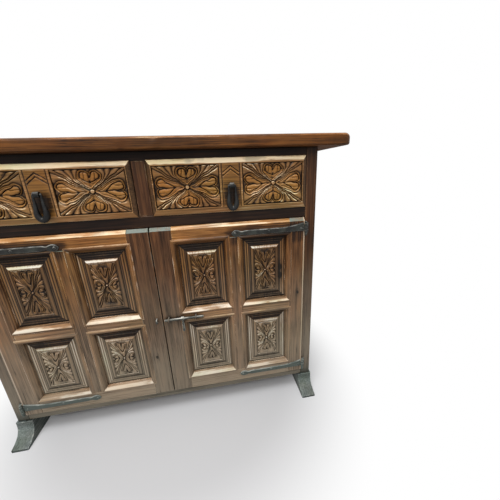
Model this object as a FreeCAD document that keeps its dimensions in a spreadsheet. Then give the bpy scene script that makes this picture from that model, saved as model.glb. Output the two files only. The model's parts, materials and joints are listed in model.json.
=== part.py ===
import FreeCAD, Part
import os
import Sketcher

# Carved two-door, two-drawer credenza on runner feet.
# Frame: X to the viewer's right, Y to the back, Z up; origin on the floor, in the middle of the outline.

SIZES = {
    # Carcase
    "carcase_width": 972,
    "carcase_depth": 400,
    "foot_height": 65,
    "bottom_rail_height": 25,
    "door_opening_height": 565,
    "waist_rail_height": 32,
    "drawer_opening_height": 141,
    "frieze_rail_height": 23,
    "front_rail_thickness": 18,
    "front_post_width": 33,
    "front_post_depth": 40,
    "rear_post_depth": 33,
    "divider_width": 34,
    "rail_tenon_length": 14,
    "rail_tenon_thickness": 8,
    "rail_tenon_shoulder": 5,
    # Top slab
    "slab_thickness": 30,
    "slab_side_overhang": 82,
    "slab_front_overhang": 38,
    "slab_back_overhang": 10,
    "slab_corner_radius": 14,
    "slab_top_radius": 8,
    "slab_under_radius": 4,
    # Runner feet
    "foot_width": 47,
    "foot_side_overhang": 4,
    "foot_ledge": 6,
    "toe_projection": 51,
    "toe_height": 8,
    "toe_scoop_rise": 13,
    "toe_scoop_radius": 55,
    # Side frames
    "side_inset": 4,
    "side_top_rail": 58,
    "side_middle_rail": 56,
    "side_bottom_rail": 58,
    "side_guide_rise": 18,
    "side_field_margin": 28,
    "side_field_rise": 7,
    "tongue_depth": 6,
    "tongue_thickness": 8,
    "framed_tenon_length": 12,
    "framed_tenon_shoulder": 8,
    # Inside of the carcase
    "back_board_thickness": 12,
    "back_board_inset": 4,
    "back_board_gap": 1,
    "rear_rail_height": 45,
    "rear_rail_thickness": 18,
    "floor_thickness": 18,
    "door_stop_rise": 6,
    "deck_thickness": 15,
    "guide_height": 40,
    "shelf_height": 350,
    "shelf_thickness": 18,
    "shelf_setback": 60,
    "shelf_clearance": 1,
    "cleat_width": 18,
    "cleat_height": 22,
    # Drawers
    "drawer_gap": 1.5,
    "drawer_proud": 9,
    "drawer_front_thickness": 22,
    "drawer_bevel_width": 13,
    "drawer_bevel_depth": 8,
    "drawer_border": 6,
    "carved_field_depth": 3,
    "pull_panel_width": 46,
    "drawer_side_inset": 2,
    "drawer_side_thickness": 12,
    "drawer_side_drop": 20,
    "drawer_run_clearance": 0.5,
    "drawer_back_thickness": 12,
    "drawer_back_gap": 14,
    "drawer_bottom_thickness": 6,
    "drawer_bottom_rise": 8,
    # Drawer pulls
    "pull_standoff": 13,
    "pull_head_radius": 7,
    "pull_head_width": 12,
    "pull_stem_radius": 4,
    "pull_rod_radius": 3,
    "pull_pin_radius": 2,
    "pull_pin_clearance": 0.05,
    "pull_pin_reach": 4,
    "pull_cheek_clearance": 0.5,
    "pull_drop": 70,
    "pull_spread": 36,
    "pull_grip_radius": 4.5,
    # Doors
    "door_proud": 9,
    "door_thickness": 26,
    "door_clearance": 1.5,
    "door_meeting_gap": 3,
    "door_hinge_gap": 2.5,
    "door_edge_bevel": 9,
    "lock_stile_width": 57,
    "hinge_stile_width": 47,
    "door_muntin_width": 33,
    "door_top_rail": 42,
    "door_mid_rail": 28,
    "door_bottom_rail": 45,
    "lower_panel_height": 218,
    "moulding_width": 15,
    "moulding_depth": 13,
    "panel_slope_rise": 2,
    "tablet_edge_width": 10,
    "tablet_rise": 5,
    "tablet_side_margin": 19,
    "tablet_end_margin": 21,
    # Strap hinges
    "strap_length": 225,
    "strap_width": 15,
    "strap_finial_width": 20,
    "strap_flare_rise": 11,
    "strap_flare_length": 60,
    "strap_thickness": 3,
    "strap_top_drop": 32,
    "strap_bottom_rise": 26,
    "knuckle_radius": 4.5,
    "knuckle_height": 10,
    "knuckle_gap": 0.4,
    "hinge_standoff": 0.5,
    "hinge_pin_radius": 2.2,
    "hinge_pin_clearance": 0.05,
    "hinge_pin_head_radius": 3.5,
    "leaf_width": 8,
    "leaf_thickness": 3,
    "nail_head_radius": 3.5,
    "nail_tip_radius": 1.5,
    "nail_head_height": 2,
    "nail_margin": 14,
    "leaf_nail_spacing": 16,
    # Latch
    "bolt_length": 116,
    "bolt_radius": 3.5,
    "bolt_setback": 5,
    "bolt_standoff": 7,
    "staple_clearance": 0.4,
    "staple_wire_radius": 2,
    "near_staple_place": 17,
    "far_staple_place": 98,
    "keeper_place": 15,
    "drop_place": 53,
    "drop_collar_radius": 6,
    "drop_collar_width": 9,
    "drop_bore_clearance": 0.08,
    "drop_length": 44,
    "drop_top_width": 4,
    "drop_foot_width": 8,
    "drop_thickness": 4,
}

BACK_BOARD_COUNT = 5
NAILS_PER_STRAP = 3
KNUCKLES_PER_HINGE = 3
LEFT, RIGHT = -1, 1
SIDE_NAMES = {LEFT: "left", RIGHT: "right"}
UPRIGHT = FreeCAD.Rotation()
ALONG_X = FreeCAD.Rotation(FreeCAD.Vector(0, 1, 0), 90)
TO_BACK = FreeCAD.Rotation(FreeCAD.Vector(1, 0, 0), -90)
TO_FRONT = FreeCAD.Rotation(FreeCAD.Vector(1, 0, 0), 90)
ARCH_AXES = (FreeCAD.Vector(0, 0, 1), FreeCAD.Vector(0, -1, 0), FreeCAD.Vector(1, 0, 0))
ARCH_TO_FRONT = FreeCAD.Rotation(*ARCH_AXES, "XYZ")
QUARTER_TURN = 90
HALF_TURN = 180
EDGE_TOLERANCE = 1e-4

# Limits that several pieces share, as expressions on the sheet
HALF = "(Sizes.carcase_width / 2)"
INNER = f"({HALF} - Sizes.front_post_width)"
FRONT = "((Sizes.toe_projection - Sizes.carcase_depth - Sizes.slab_back_overhang) / 2)"
BACK = f"({FRONT} + Sizes.carcase_depth)"
RAIL_BACK = f"({FRONT} + Sizes.front_rail_thickness)"
BOARDS_BACK = f"({BACK} - Sizes.back_board_inset)"
BOARDS_FRONT = f"({BOARDS_BACK} - Sizes.back_board_thickness)"
REAR_RAIL_FRONT = f"({BOARDS_FRONT} - Sizes.rear_rail_thickness)"
CARCASE_LOW = "Sizes.foot_height"
DOOR_LOW = f"({CARCASE_LOW} + Sizes.bottom_rail_height)"
DOOR_HIGH = f"({DOOR_LOW} + Sizes.door_opening_height)"
DRAWER_LOW = f"({DOOR_HIGH} + Sizes.waist_rail_height)"
DRAWER_HIGH = f"({DRAWER_LOW} + Sizes.drawer_opening_height)"
SLAB_LOW = f"({DRAWER_HIGH} + Sizes.frieze_rail_height)"

DRAWER_FACE = f"({FRONT} - Sizes.drawer_proud)"
DRAWER_FRONT_BACK = f"({DRAWER_FACE} + Sizes.drawer_front_thickness)"
DRAWER_IN = "(Sizes.divider_width / 2 + Sizes.drawer_gap)"
DRAWER_OUT = f"({INNER} - Sizes.drawer_gap)"
PULL_X = f"(({DRAWER_IN} + {DRAWER_OUT}) / 2)"
PULL_Y = f"({DRAWER_FACE} - Sizes.pull_standoff)"
PULL_Z = f"(({DRAWER_LOW} + {DRAWER_HIGH}) / 2)"

DOOR_FACE = f"({FRONT} - Sizes.door_proud)"
DOOR_BACK = f"({DOOR_FACE} + Sizes.door_thickness)"
DOOR_IN = "(Sizes.door_meeting_gap / 2)"
DOOR_OUT = f"({INNER} - Sizes.door_hinge_gap)"
LEAF_LOW = f"({DOOR_LOW} + Sizes.door_clearance)"
LEAF_HIGH = f"({DOOR_HIGH} - Sizes.door_clearance)"
LOCK_STILE = (DOOR_IN, f"({DOOR_IN} + Sizes.lock_stile_width)")
HINGE_STILE = (f"({DOOR_OUT} - Sizes.hinge_stile_width)", DOOR_OUT)
COLUMN_WIDTH = f"(({HINGE_STILE[0]} - {LOCK_STILE[1]} - Sizes.door_muntin_width) / 2)"
LOCK_COLUMN = (LOCK_STILE[1], f"({LOCK_STILE[1]} + {COLUMN_WIDTH})")
HINGE_COLUMN = (f"({HINGE_STILE[0]} - {COLUMN_WIDTH})", HINGE_STILE[0])
LOWER_LOW = f"({LEAF_LOW} + Sizes.door_bottom_rail)"
LOWER_HIGH = f"({LOWER_LOW} + Sizes.lower_panel_height)"
UPPER_LOW = f"({LOWER_HIGH} + Sizes.door_mid_rail)"
UPPER_HIGH = f"({LEAF_HIGH} - Sizes.door_top_rail)"
QUIRK = f"({DOOR_FACE} + Sizes.moulding_depth)"
TONGUE_Y = (QUIRK, f"({QUIRK} + Sizes.tongue_thickness)")

HINGE_X = f"({INNER} - Sizes.door_hinge_gap / 2)"
HINGE_Y = f"({DOOR_FACE} - Sizes.knuckle_radius - Sizes.hinge_standoff)"
HINGE_LEVELS = {
    "top": f"({LEAF_HIGH} - Sizes.strap_top_drop)",
    "bottom": f"({LEAF_LOW} + Sizes.strap_bottom_rise)",
}
BARREL = f"({KNUCKLES_PER_HINGE} * Sizes.knuckle_height + {KNUCKLES_PER_HINGE - 1} * Sizes.knuckle_gap)"
BOLT_Y = f"({DOOR_FACE} - Sizes.bolt_standoff)"
BOLT_Z = f"(({LOWER_HIGH} + {UPPER_LOW}) / 2)"
BOLT_TIP = f"({DOOR_IN} + Sizes.bolt_setback)"

doc = FreeCAD.newDocument("Credenza")
sheet = doc.addObject("Spreadsheet::Sheet", "Sizes")
for row, (alias, number) in enumerate(SIZES.items(), start=1):
    sheet.set(f"A{row}", alias)
    sheet.set(f"B{row}", str(number))
    sheet.setAlias(f"B{row}", alias)
doc.recompute()

subparts = []


def publish(label, piece):
    """Name a finished sub-part and keep it for the export."""
    piece.Label = label
    subparts.append(piece)
    return piece


def on_side(side, low, high):
    """X limits given for the right-hand half, mirrored for the left one."""
    if side == RIGHT:
        return (low, high)
    return (f"-({high})", f"-({low})")


def at_side(side, place):
    """An X place given for the right-hand half, mirrored for the left one."""
    return place if side == RIGHT else f"-({place})"


def grown(limits, margin):
    """Limits moved apart by a margin at both ends."""
    return (f"({limits[0]} - ({margin}))", f"({limits[1]} + ({margin}))")


def shrunk(limits, margin):
    """Limits moved together by a margin at both ends."""
    return (f"({limits[0]} + ({margin}))", f"({limits[1]} - ({margin}))")


def about(middle, width):
    """Limits of a given width about a middle."""
    return (f"({middle} - ({width}) / 2)", f"({middle} + ({width}) / 2)")


def locate(piece, x, y, z):
    """Tie a piece's place to the sheet."""
    for axis, place in zip("xyz", (x, y, z)):
        piece.setExpression(f"Placement.Base.{axis}", place)


def block(name, x, y, z):
    """A rectangular piece between two limits on each axis."""
    piece = doc.addObject("Part::Box", name)
    for size, (low, high) in zip(("Length", "Width", "Height"), (x, y, z)):
        piece.setExpression(size, f"({high}) - ({low})")
    locate(piece, x[0], y[0], z[0])
    return piece


def frustum(name, y, front, back):
    """A piece that tapers from a front rectangle to a back one, each given as X limits and Z limits."""
    piece = doc.addObject("Part::Wedge", name)
    (front_x, front_z), (back_x, back_z) = front, back
    limits = {"Y": y, "X": front_x, "Z": front_z, "X2": back_x, "Z2": back_z}
    for prefix, (low, high) in limits.items():
        piece.setExpression(f"{prefix}min", low)
        piece.setExpression(f"{prefix}max", high)
    return piece


def rod(name, turn, radius, length, x, y, z):
    """A round bar that starts at a place and runs along one axis."""
    piece = doc.addObject("Part::Cylinder", name)
    piece.Placement = FreeCAD.Placement(FreeCAD.Vector(), turn)
    piece.setExpression("Radius", radius)
    piece.setExpression("Height", length)
    locate(piece, x, y, z)
    return piece


def ball(name, radius, x, y, z):
    """A round end or knob."""
    piece = doc.addObject("Part::Sphere", name)
    piece.setExpression("Radius", radius)
    locate(piece, x, y, z)
    return piece


def nail(name, x, y, z):
    """A hand-made nail's head, standing out to the front from a plate's face."""
    head = doc.addObject("Part::Cone", name)
    head.Placement = FreeCAD.Placement(FreeCAD.Vector(), TO_FRONT)
    head.setExpression("Radius1", "Sizes.nail_head_radius")
    head.setExpression("Radius2", "Sizes.nail_tip_radius")
    head.setExpression("Height", "Sizes.nail_head_height")
    locate(head, x, y, z)
    return head


def fuse(name, *pieces):
    """Pieces joined into one solid."""
    joined = doc.addObject("Part::MultiFuse", name)
    joined.Shapes = list(pieces)
    joined.Refine = True
    return joined


def group(name, pieces):
    """Separate solids that share one node, or tools that cut together."""
    gathered = doc.addObject("Part::Compound", name)
    gathered.Links = list(pieces)
    return gathered


def cut(name, base, *tools):
    """A piece with one or more tools taken out of it."""
    result = doc.addObject("Part::Cut", name)
    result.Base = base
    result.Tool = tools[0] if len(tools) == 1 else group(f"{name}_tools", tools)
    return result


def outline(body, name, role, corners):
    """A closed sketch on one of a body's own planes, with each corner tied to the sheet."""
    sketch = body.newObject("Sketcher::SketchObject", name)
    plane = next(feature for feature in body.Origin.OriginFeatures if feature.Role == role)
    sketch.AttachmentSupport = [(plane, "")]
    sketch.MapMode = "FlatFace"
    points = [FreeCAD.Vector(*(sheet.evalExpression(place) for place in corner), 0) for corner in corners]
    for start, end in zip(points, points[1:] + points[:1]):
        sketch.addGeometry(Part.LineSegment(start, end))
    for index in range(len(points)):
        following = (index + 1) % len(points)
        sketch.addConstraint(Sketcher.Constraint("Coincident", index, 2, following, 1))
    for index, corner in enumerate(corners):
        for kind, place in zip(("DistanceX", "DistanceY"), corner):
            start_value = sheet.evalExpression(place)
            added = sketch.addConstraint(Sketcher.Constraint(kind, -1, 1, index, 1, start_value))
            sketch.setExpression(f"Constraints[{added}]", place)
    return sketch


def pad(body, sketch, length):
    """A sketch made solid along its plane's normal."""
    feature = body.newObject("PartDesign::Pad", f"{sketch.Name}_pad")
    feature.Profile = sketch
    feature.setExpression("Length", length)
    doc.recompute()
    return feature


def fillet(body, base, name, radius, wanted):
    """Rounded edges, chosen by a test on each edge's box."""
    feature = body.newObject("PartDesign::Fillet", name)
    numbered = enumerate(base.Shape.Edges, start=1)
    feature.Base = (base, [f"Edge{number}" for number, edge in numbered if wanted(edge.BoundBox)])
    feature.setExpression("Radius", radius)
    doc.recompute()
    return feature


def close(value, place):
    """True where an edge's limit lies at a place given as an expression."""
    return abs(value - sheet.evalExpression(place)) < EDGE_TOLERANCE


# Top slab: a board with its front corners rounded in plan and its upper and lower edges eased
def top_slab():
    body = doc.addObject("PartDesign::Body", "top_slab_body")
    half = f"({HALF} + Sizes.slab_side_overhang)"
    front = f"({FRONT} - Sizes.slab_front_overhang)"
    back = f"({BACK} + Sizes.slab_back_overhang)"
    corners = ((f"-{half}", front), (half, front), (half, back), (f"-{half}", back))
    board = pad(body, outline(body, "slab_outline", "XY_Plane", corners), "Sizes.slab_thickness")
    corner_edges = lambda box: box.ZLength > box.XLength + box.YLength and close(box.YMin, front)
    rounded = fillet(body, board, "slab_corners", "Sizes.slab_corner_radius", corner_edges)
    upper_edges = lambda box: close(box.ZMin, "Sizes.slab_thickness") and not close(box.YMin, back)
    eased = fillet(body, rounded, "slab_upper_edge", "Sizes.slab_top_radius", upper_edges)
    lower_edges = lambda box: close(box.ZMax, "0") and not close(box.YMin, back)
    fillet(body, eased, "slab_lower_edge", "Sizes.slab_under_radius", lower_edges)
    body.setExpression("Placement.Base.z", SLAB_LOW)
    publish("top_slab", body)


# Runner feet: a rail from front to back under each side, with a scooped toe
def runner_foot(side):
    label = f"foot_{SIDE_NAMES[side]}"
    body = doc.addObject("PartDesign::Body", f"{label}_body")
    ledge = f"({FRONT} - Sizes.foot_ledge)"
    toe = f"({FRONT} - Sizes.toe_projection)"
    scoop = "(Sizes.toe_height + Sizes.toe_scoop_rise)"
    corners = (
        (toe, "0"),
        (BACK, "0"),
        (BACK, "Sizes.foot_height"),
        (ledge, "Sizes.foot_height"),
        (ledge, scoop),
        (toe, "Sizes.toe_height"),
    )
    rail = pad(body, outline(body, f"{label}_outline", "YZ_Plane", corners), "Sizes.foot_width")
    in_scoop = lambda box: close(box.ZMax, scoop) and close(box.YMin, ledge)
    run = f"min(Sizes.foot_height - {scoop}; {ledge} - {toe})"
    fillet(body, rail, f"{label}_scoop", f"min(Sizes.toe_scoop_radius; {run})", in_scoop)
    outer = f"({HALF} + Sizes.foot_side_overhang)"
    body.setExpression("Placement.Base.x", on_side(side, f"{outer} - Sizes.foot_width", outer)[0])
    publish(label, body)


# Carcase: posts and rails joined with tenons, framed sides, boards inside
def rail_tenon(name, z):
    """The tenons at both ends of a front rail, as one bar."""
    middle = f"({FRONT} + Sizes.front_rail_thickness / 2)"
    reach = f"({INNER} + Sizes.rail_tenon_length)"
    tenon_y = about(middle, "Sizes.rail_tenon_thickness")
    return block(name, (f"-{reach}", reach), tenon_y, shrunk(z, "Sizes.rail_tenon_shoulder"))


def front_frame():
    """Three rails across the front and the post between the drawers; gives the rails' tenons."""
    rail_y = (FRONT, RAIL_BACK)
    levels = {
        "frieze_rail": (DRAWER_HIGH, SLAB_LOW),
        "waist_rail": (DOOR_HIGH, DRAWER_LOW),
        "bottom_rail": (CARCASE_LOW, DOOR_LOW),
    }
    divider_x = about("0", "Sizes.divider_width")
    divider_tenon = block(
        "divider_tenon",
        shrunk(divider_x, "Sizes.rail_tenon_shoulder"),
        shrunk(rail_y, "Sizes.rail_tenon_shoulder"),
        grown((DRAWER_LOW, DRAWER_HIGH), "Sizes.rail_tenon_thickness"),
    )
    divider = block("divider_bar", divider_x, rail_y, (DRAWER_LOW, DRAWER_HIGH))
    publish("drawer_divider", fuse("divider_joined", divider, divider_tenon))
    tenons = []
    for label, z in levels.items():
        tenon = rail_tenon(f"{label}_tenon", z)
        bar = block(f"{label}_bar", (f"-{INNER}", INNER), rail_y, z)
        joined = fuse(f"{label}_joined", bar, tenon)
        beside_drawers = label != "bottom_rail"
        publish(label, cut(f"{label}_mortised", joined, divider_tenon) if beside_drawers else joined)
        tenons.append(tenon)
    return tenons


def side_frame(side, front_tenons):
    """Posts, rails and fielded panels of one side; gives the rear post."""
    name = SIDE_NAMES[side]
    outer = f"({HALF} - Sizes.side_inset)"
    middle = f"(({INNER} + {outer}) / 2)"
    post_x = on_side(side, INNER, HALF)
    rail_x = on_side(side, INNER, outer)
    core_x = on_side(side, *about(middle, "Sizes.rail_tenon_thickness"))
    tongue_x = on_side(side, *about(middle, "Sizes.tongue_thickness"))
    open_y = (f"({FRONT} + Sizes.front_post_depth)", f"({BACK} - Sizes.rear_post_depth)")
    waist_high = f"({DRAWER_LOW} + Sizes.side_guide_rise)"
    waist_low = f"({waist_high} - Sizes.side_middle_rail)"
    top_low = f"({SLAB_LOW} - Sizes.side_top_rail)"
    bottom_high = f"({CARCASE_LOW} + Sizes.side_bottom_rail)"
    rails = {
        "top": (top_low, SLAB_LOW),
        "waist": (waist_low, waist_high),
        "bottom": (CARCASE_LOW, bottom_high),
    }
    openings = {"upper": (waist_high, top_low), "lower": (bottom_high, waist_low)}

    tongues = []
    panels = []
    for place, z in openings.items():
        stem = f"side_{name}_{place}"
        tongue_y, tongue_z = grown(open_y, "Sizes.tongue_depth"), grown(z, "Sizes.tongue_depth")
        tongue = block(f"{stem}_tongue", tongue_x, tongue_y, tongue_z)
        core_face = f"({middle} + Sizes.tongue_thickness / 2)"
        field_face = f"({core_face} + Sizes.side_field_rise)"
        field = side_field(f"{stem}_field", side, (core_face, field_face), open_y, z)
        tongues.append(tongue)
        panels.append(fuse(f"{stem}_panel", tongue, field))
    publish(f"side_panels_{name}", group(f"side_{name}_panels", panels))

    grooves = group(f"side_{name}_grooves", tongues)
    tenons = []
    bars = []
    for place, z in rails.items():
        stem = f"side_{name}_{place}_rail"
        tenon_y = grown(open_y, "Sizes.framed_tenon_length")
        tenon = block(f"{stem}_tenon", core_x, tenon_y, shrunk(z, "Sizes.framed_tenon_shoulder"))
        bar = fuse(f"{stem}_joined", block(f"{stem}_bar", rail_x, open_y, z), tenon)
        tenons.append(tenon)
        bars.append(cut(stem, bar, grooves))
    publish(f"side_rails_{name}", group(f"side_{name}_rails", bars))

    height = (CARCASE_LOW, SLAB_LOW)
    front_post = block(f"front_post_{name}_bar", post_x, (FRONT, open_y[0]), height)
    mortised = cut(f"front_post_{name}_mortised", front_post, grooves, *tenons, *front_tenons)
    publish(f"front_post_{name}", mortised)
    rear_post = block(f"rear_post_{name}_bar", post_x, (open_y[1], BACK), height)
    return cut(f"rear_post_{name}_mortised", rear_post, grooves, *tenons)


def side_field(name, side, x, y, z):
    """The raised field of a side panel, tapering outward from the panel's core."""
    margin = "Sizes.side_field_margin"
    across = on_side(-side, *y)
    piece = frustum(name, x, (across, z), (shrunk(across, margin), shrunk(z, margin)))
    outward = FreeCAD.Rotation(FreeCAD.Vector(0, 0, 1), -side * QUARTER_TURN)
    piece.Placement = FreeCAD.Placement(FreeCAD.Vector(), outward)
    return piece


def inner_boards():
    """Back boards, floor, drawer deck and guide, shelf and cleats."""
    inside_x = (f"-{INNER}", INNER)
    inside_y = (RAIL_BACK, BOARDS_FRONT)
    boards_y = (BOARDS_FRONT, BOARDS_BACK)
    pitch = f"(2 * {INNER} / {BACK_BOARD_COUNT})"
    boards = []
    for index in range(BACK_BOARD_COUNT):
        low = f"({pitch} * {index} - {INNER})"
        x = (low, f"({low} + {pitch} - Sizes.back_board_gap)")
        boards.append(block(f"back_board_{index}", x, boards_y, (CARCASE_LOW, SLAB_LOW)))
    publish("back_boards", group("back_board_group", boards))
    rear_rail_z = (f"({SLAB_LOW} - Sizes.rear_rail_height)", SLAB_LOW)
    rear_rail_y = (REAR_RAIL_FRONT, BOARDS_FRONT)
    publish("rear_top_rail", block("rear_rail_bar", inside_x, rear_rail_y, rear_rail_z))
    floor_high = f"({DOOR_LOW} + Sizes.door_stop_rise)"
    floor_z = (f"({floor_high} - Sizes.floor_thickness)", floor_high)
    publish("cabinet_floor", block("floor_board", inside_x, inside_y, floor_z))
    deck_z = (f"({DRAWER_LOW} - Sizes.deck_thickness)", DRAWER_LOW)
    publish("drawer_deck", block("deck_board", inside_x, inside_y, deck_z))
    guide_x = about("0", "Sizes.divider_width")
    guide_z = (DRAWER_LOW, f"({DRAWER_LOW} + Sizes.guide_height)")
    publish("drawer_guide", block("guide_bar", guide_x, inside_y, guide_z))
    shelf_y = (f"({FRONT} + Sizes.shelf_setback)", f"({BOARDS_FRONT} - Sizes.shelf_clearance)")
    shelf_low = "(Sizes.shelf_height - Sizes.shelf_thickness)"
    shelf_x = shrunk(inside_x, "Sizes.shelf_clearance")
    publish("shelf", block("shelf_board", shelf_x, shelf_y, (shelf_low, "Sizes.shelf_height")))
    cleat_z = (f"({shelf_low} - Sizes.cleat_height)", shelf_low)
    cleats = []
    for side, name in SIDE_NAMES.items():
        cleat_x = on_side(side, f"({INNER} - Sizes.cleat_width)", INNER)
        cleats.append(block(f"cleat_{name}", cleat_x, shelf_y, cleat_z))
    publish("shelf_cleats", group("cleat_group", cleats))


# Drawers: a bevelled front with two sunk fields, a plain box behind it, a bail pull
def drawer(side):
    name = SIDE_NAMES[side]
    x = on_side(side, DRAWER_IN, DRAWER_OUT)
    z = shrunk((DRAWER_LOW, DRAWER_HIGH), "Sizes.drawer_gap")
    bevel_back = f"({DRAWER_FACE} + Sizes.drawer_bevel_depth)"
    flat_x, flat_z = shrunk(x, "Sizes.drawer_bevel_width"), shrunk(z, "Sizes.drawer_bevel_width")
    board = block(f"{name}_drawer_board", x, (bevel_back, DRAWER_FRONT_BACK), z)
    bevel = frustum(f"{name}_drawer_bevel", (DRAWER_FACE, bevel_back), (flat_x, flat_z), (x, z))
    field_x, field_z = shrunk(flat_x, "Sizes.drawer_border"), shrunk(flat_z, "Sizes.drawer_border")
    middle = about(at_side(side, PULL_X), "Sizes.pull_panel_width")
    sunk_y = (DRAWER_FACE, f"({DRAWER_FACE} + Sizes.carved_field_depth)")
    near_x = (field_x[0], f"({middle[0]} - Sizes.drawer_border)")
    far_x = (f"({middle[1]} + Sizes.drawer_border)", field_x[1])
    near = block(f"{name}_drawer_field_a", near_x, sunk_y, field_z)
    far = block(f"{name}_drawer_field_b", far_x, sunk_y, field_z)
    stem = pull_stem(name, side)
    solid = fuse(f"{name}_drawer_front_solid", board, bevel)
    publish(f"{name}_drawer_front", cut(f"{name}_drawer_front_cut", solid, near, far, stem))

    box_x = shrunk(x, "Sizes.drawer_side_inset")
    box_y = (DRAWER_FRONT_BACK, f"({REAR_RAIL_FRONT} - Sizes.drawer_back_gap)")
    box_z = (f"({DRAWER_LOW} + Sizes.drawer_run_clearance)", f"({DRAWER_HIGH} - Sizes.drawer_side_drop)")
    inside_x = shrunk(box_x, "Sizes.drawer_side_thickness")
    back_y = (f"({box_y[1]} - Sizes.drawer_back_thickness)", box_y[1])
    left_side = block(f"{name}_drawer_side_a", (box_x[0], inside_x[0]), box_y, box_z)
    right_side = block(f"{name}_drawer_side_b", (inside_x[1], box_x[1]), box_y, box_z)
    publish(f"{name}_drawer_sides", group(f"{name}_drawer_side_group", (left_side, right_side)))
    publish(f"{name}_drawer_back", block(f"{name}_drawer_back_board", inside_x, back_y, box_z))
    bottom_low = f"({box_z[0]} + Sizes.drawer_bottom_rise)"
    bottom_z = (bottom_low, f"({bottom_low} + Sizes.drawer_bottom_thickness)")
    bottom_y = (box_y[0], back_y[0])
    publish(f"{name}_drawer_bottom", block(f"{name}_drawer_bottom_board", inside_x, bottom_y, bottom_z))
    pull(name, side, stem)


def pull_stem(name, side):
    """The shank of a pull's post, through the drawer front."""
    length = f"({DRAWER_FRONT_BACK} - {PULL_Y})"
    middle = at_side(side, PULL_X)
    return rod(f"{name}_pull_stem", TO_BACK, "Sizes.pull_stem_radius", length, middle, PULL_Y, PULL_Z)


def pull(name, side, stem):
    """A post with a cross bore, and a bail whose two inward pins turn in that bore."""
    middle = at_side(side, PULL_X)
    width = "Sizes.pull_head_width"
    head_start = about(middle, width)[0]
    bore_radius = "Sizes.pull_pin_radius + Sizes.pull_pin_clearance"
    head = rod(f"{name}_pull_head", ALONG_X, "Sizes.pull_head_radius", width, head_start, PULL_Y, PULL_Z)
    bore = rod(f"{name}_pull_bore", ALONG_X, bore_radius, width, head_start, PULL_Y, PULL_Z)
    post = fuse(f"{name}_pull_post_solid", stem, head)
    publish(f"{name}_pull_post", cut(f"{name}_pull_post_bored", post, bore))

    top = "(Sizes.pull_head_width / 2 + Sizes.pull_cheek_clearance + Sizes.pull_rod_radius)"
    foot = "(Sizes.pull_spread / 2 - Sizes.pull_grip_radius)"
    fall = "(Sizes.pull_drop - Sizes.pull_grip_radius)"
    low = f"({PULL_Z} - {fall})"
    slant = f"sqrt(pow({foot} - {top}; 2) + pow({fall}; 2))"
    reach = "(Sizes.pull_pin_reach + Sizes.pull_rod_radius)"
    grip = "Sizes.pull_grip_radius"
    pieces = [rod(f"{name}_bail_grip", ALONG_X, grip, f"2 * {foot}", f"{middle} - {foot}", PULL_Y, low)]
    for hand in (LEFT, RIGHT):
        stem_name = f"{name}_bail_{SIDE_NAMES[hand]}"
        top_x = f"({middle} + {hand} * {top})"
        foot_x = f"({middle} + {hand} * {foot})"
        leg = rod(f"{stem_name}_leg", UPRIGHT, "Sizes.pull_rod_radius", slant, top_x, PULL_Y, PULL_Z)
        splayed = FreeCAD.Rotation(FreeCAD.Vector(0, hand, 0), QUARTER_TURN)
        leg.Placement = FreeCAD.Placement(FreeCAD.Vector(), splayed)
        leg.setExpression("Placement.Rotation.Angle", f"{HALF_TURN} deg - atan(({foot} - {top}) / {fall})")
        pin_low = f"({top_x} - {reach})" if hand == RIGHT else top_x
        pin = rod(f"{stem_name}_pin", ALONG_X, "Sizes.pull_pin_radius", reach, pin_low, PULL_Y, PULL_Z)
        shoulder = ball(f"{stem_name}_shoulder", "Sizes.pull_rod_radius", top_x, PULL_Y, PULL_Z)
        corner = ball(f"{stem_name}_corner", grip, foot_x, PULL_Y, low)
        pieces += [leg, pin, shoulder, corner]
    publish(f"{name}_pull_bail", fuse(f"{name}_bail_solid", *pieces))


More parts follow.
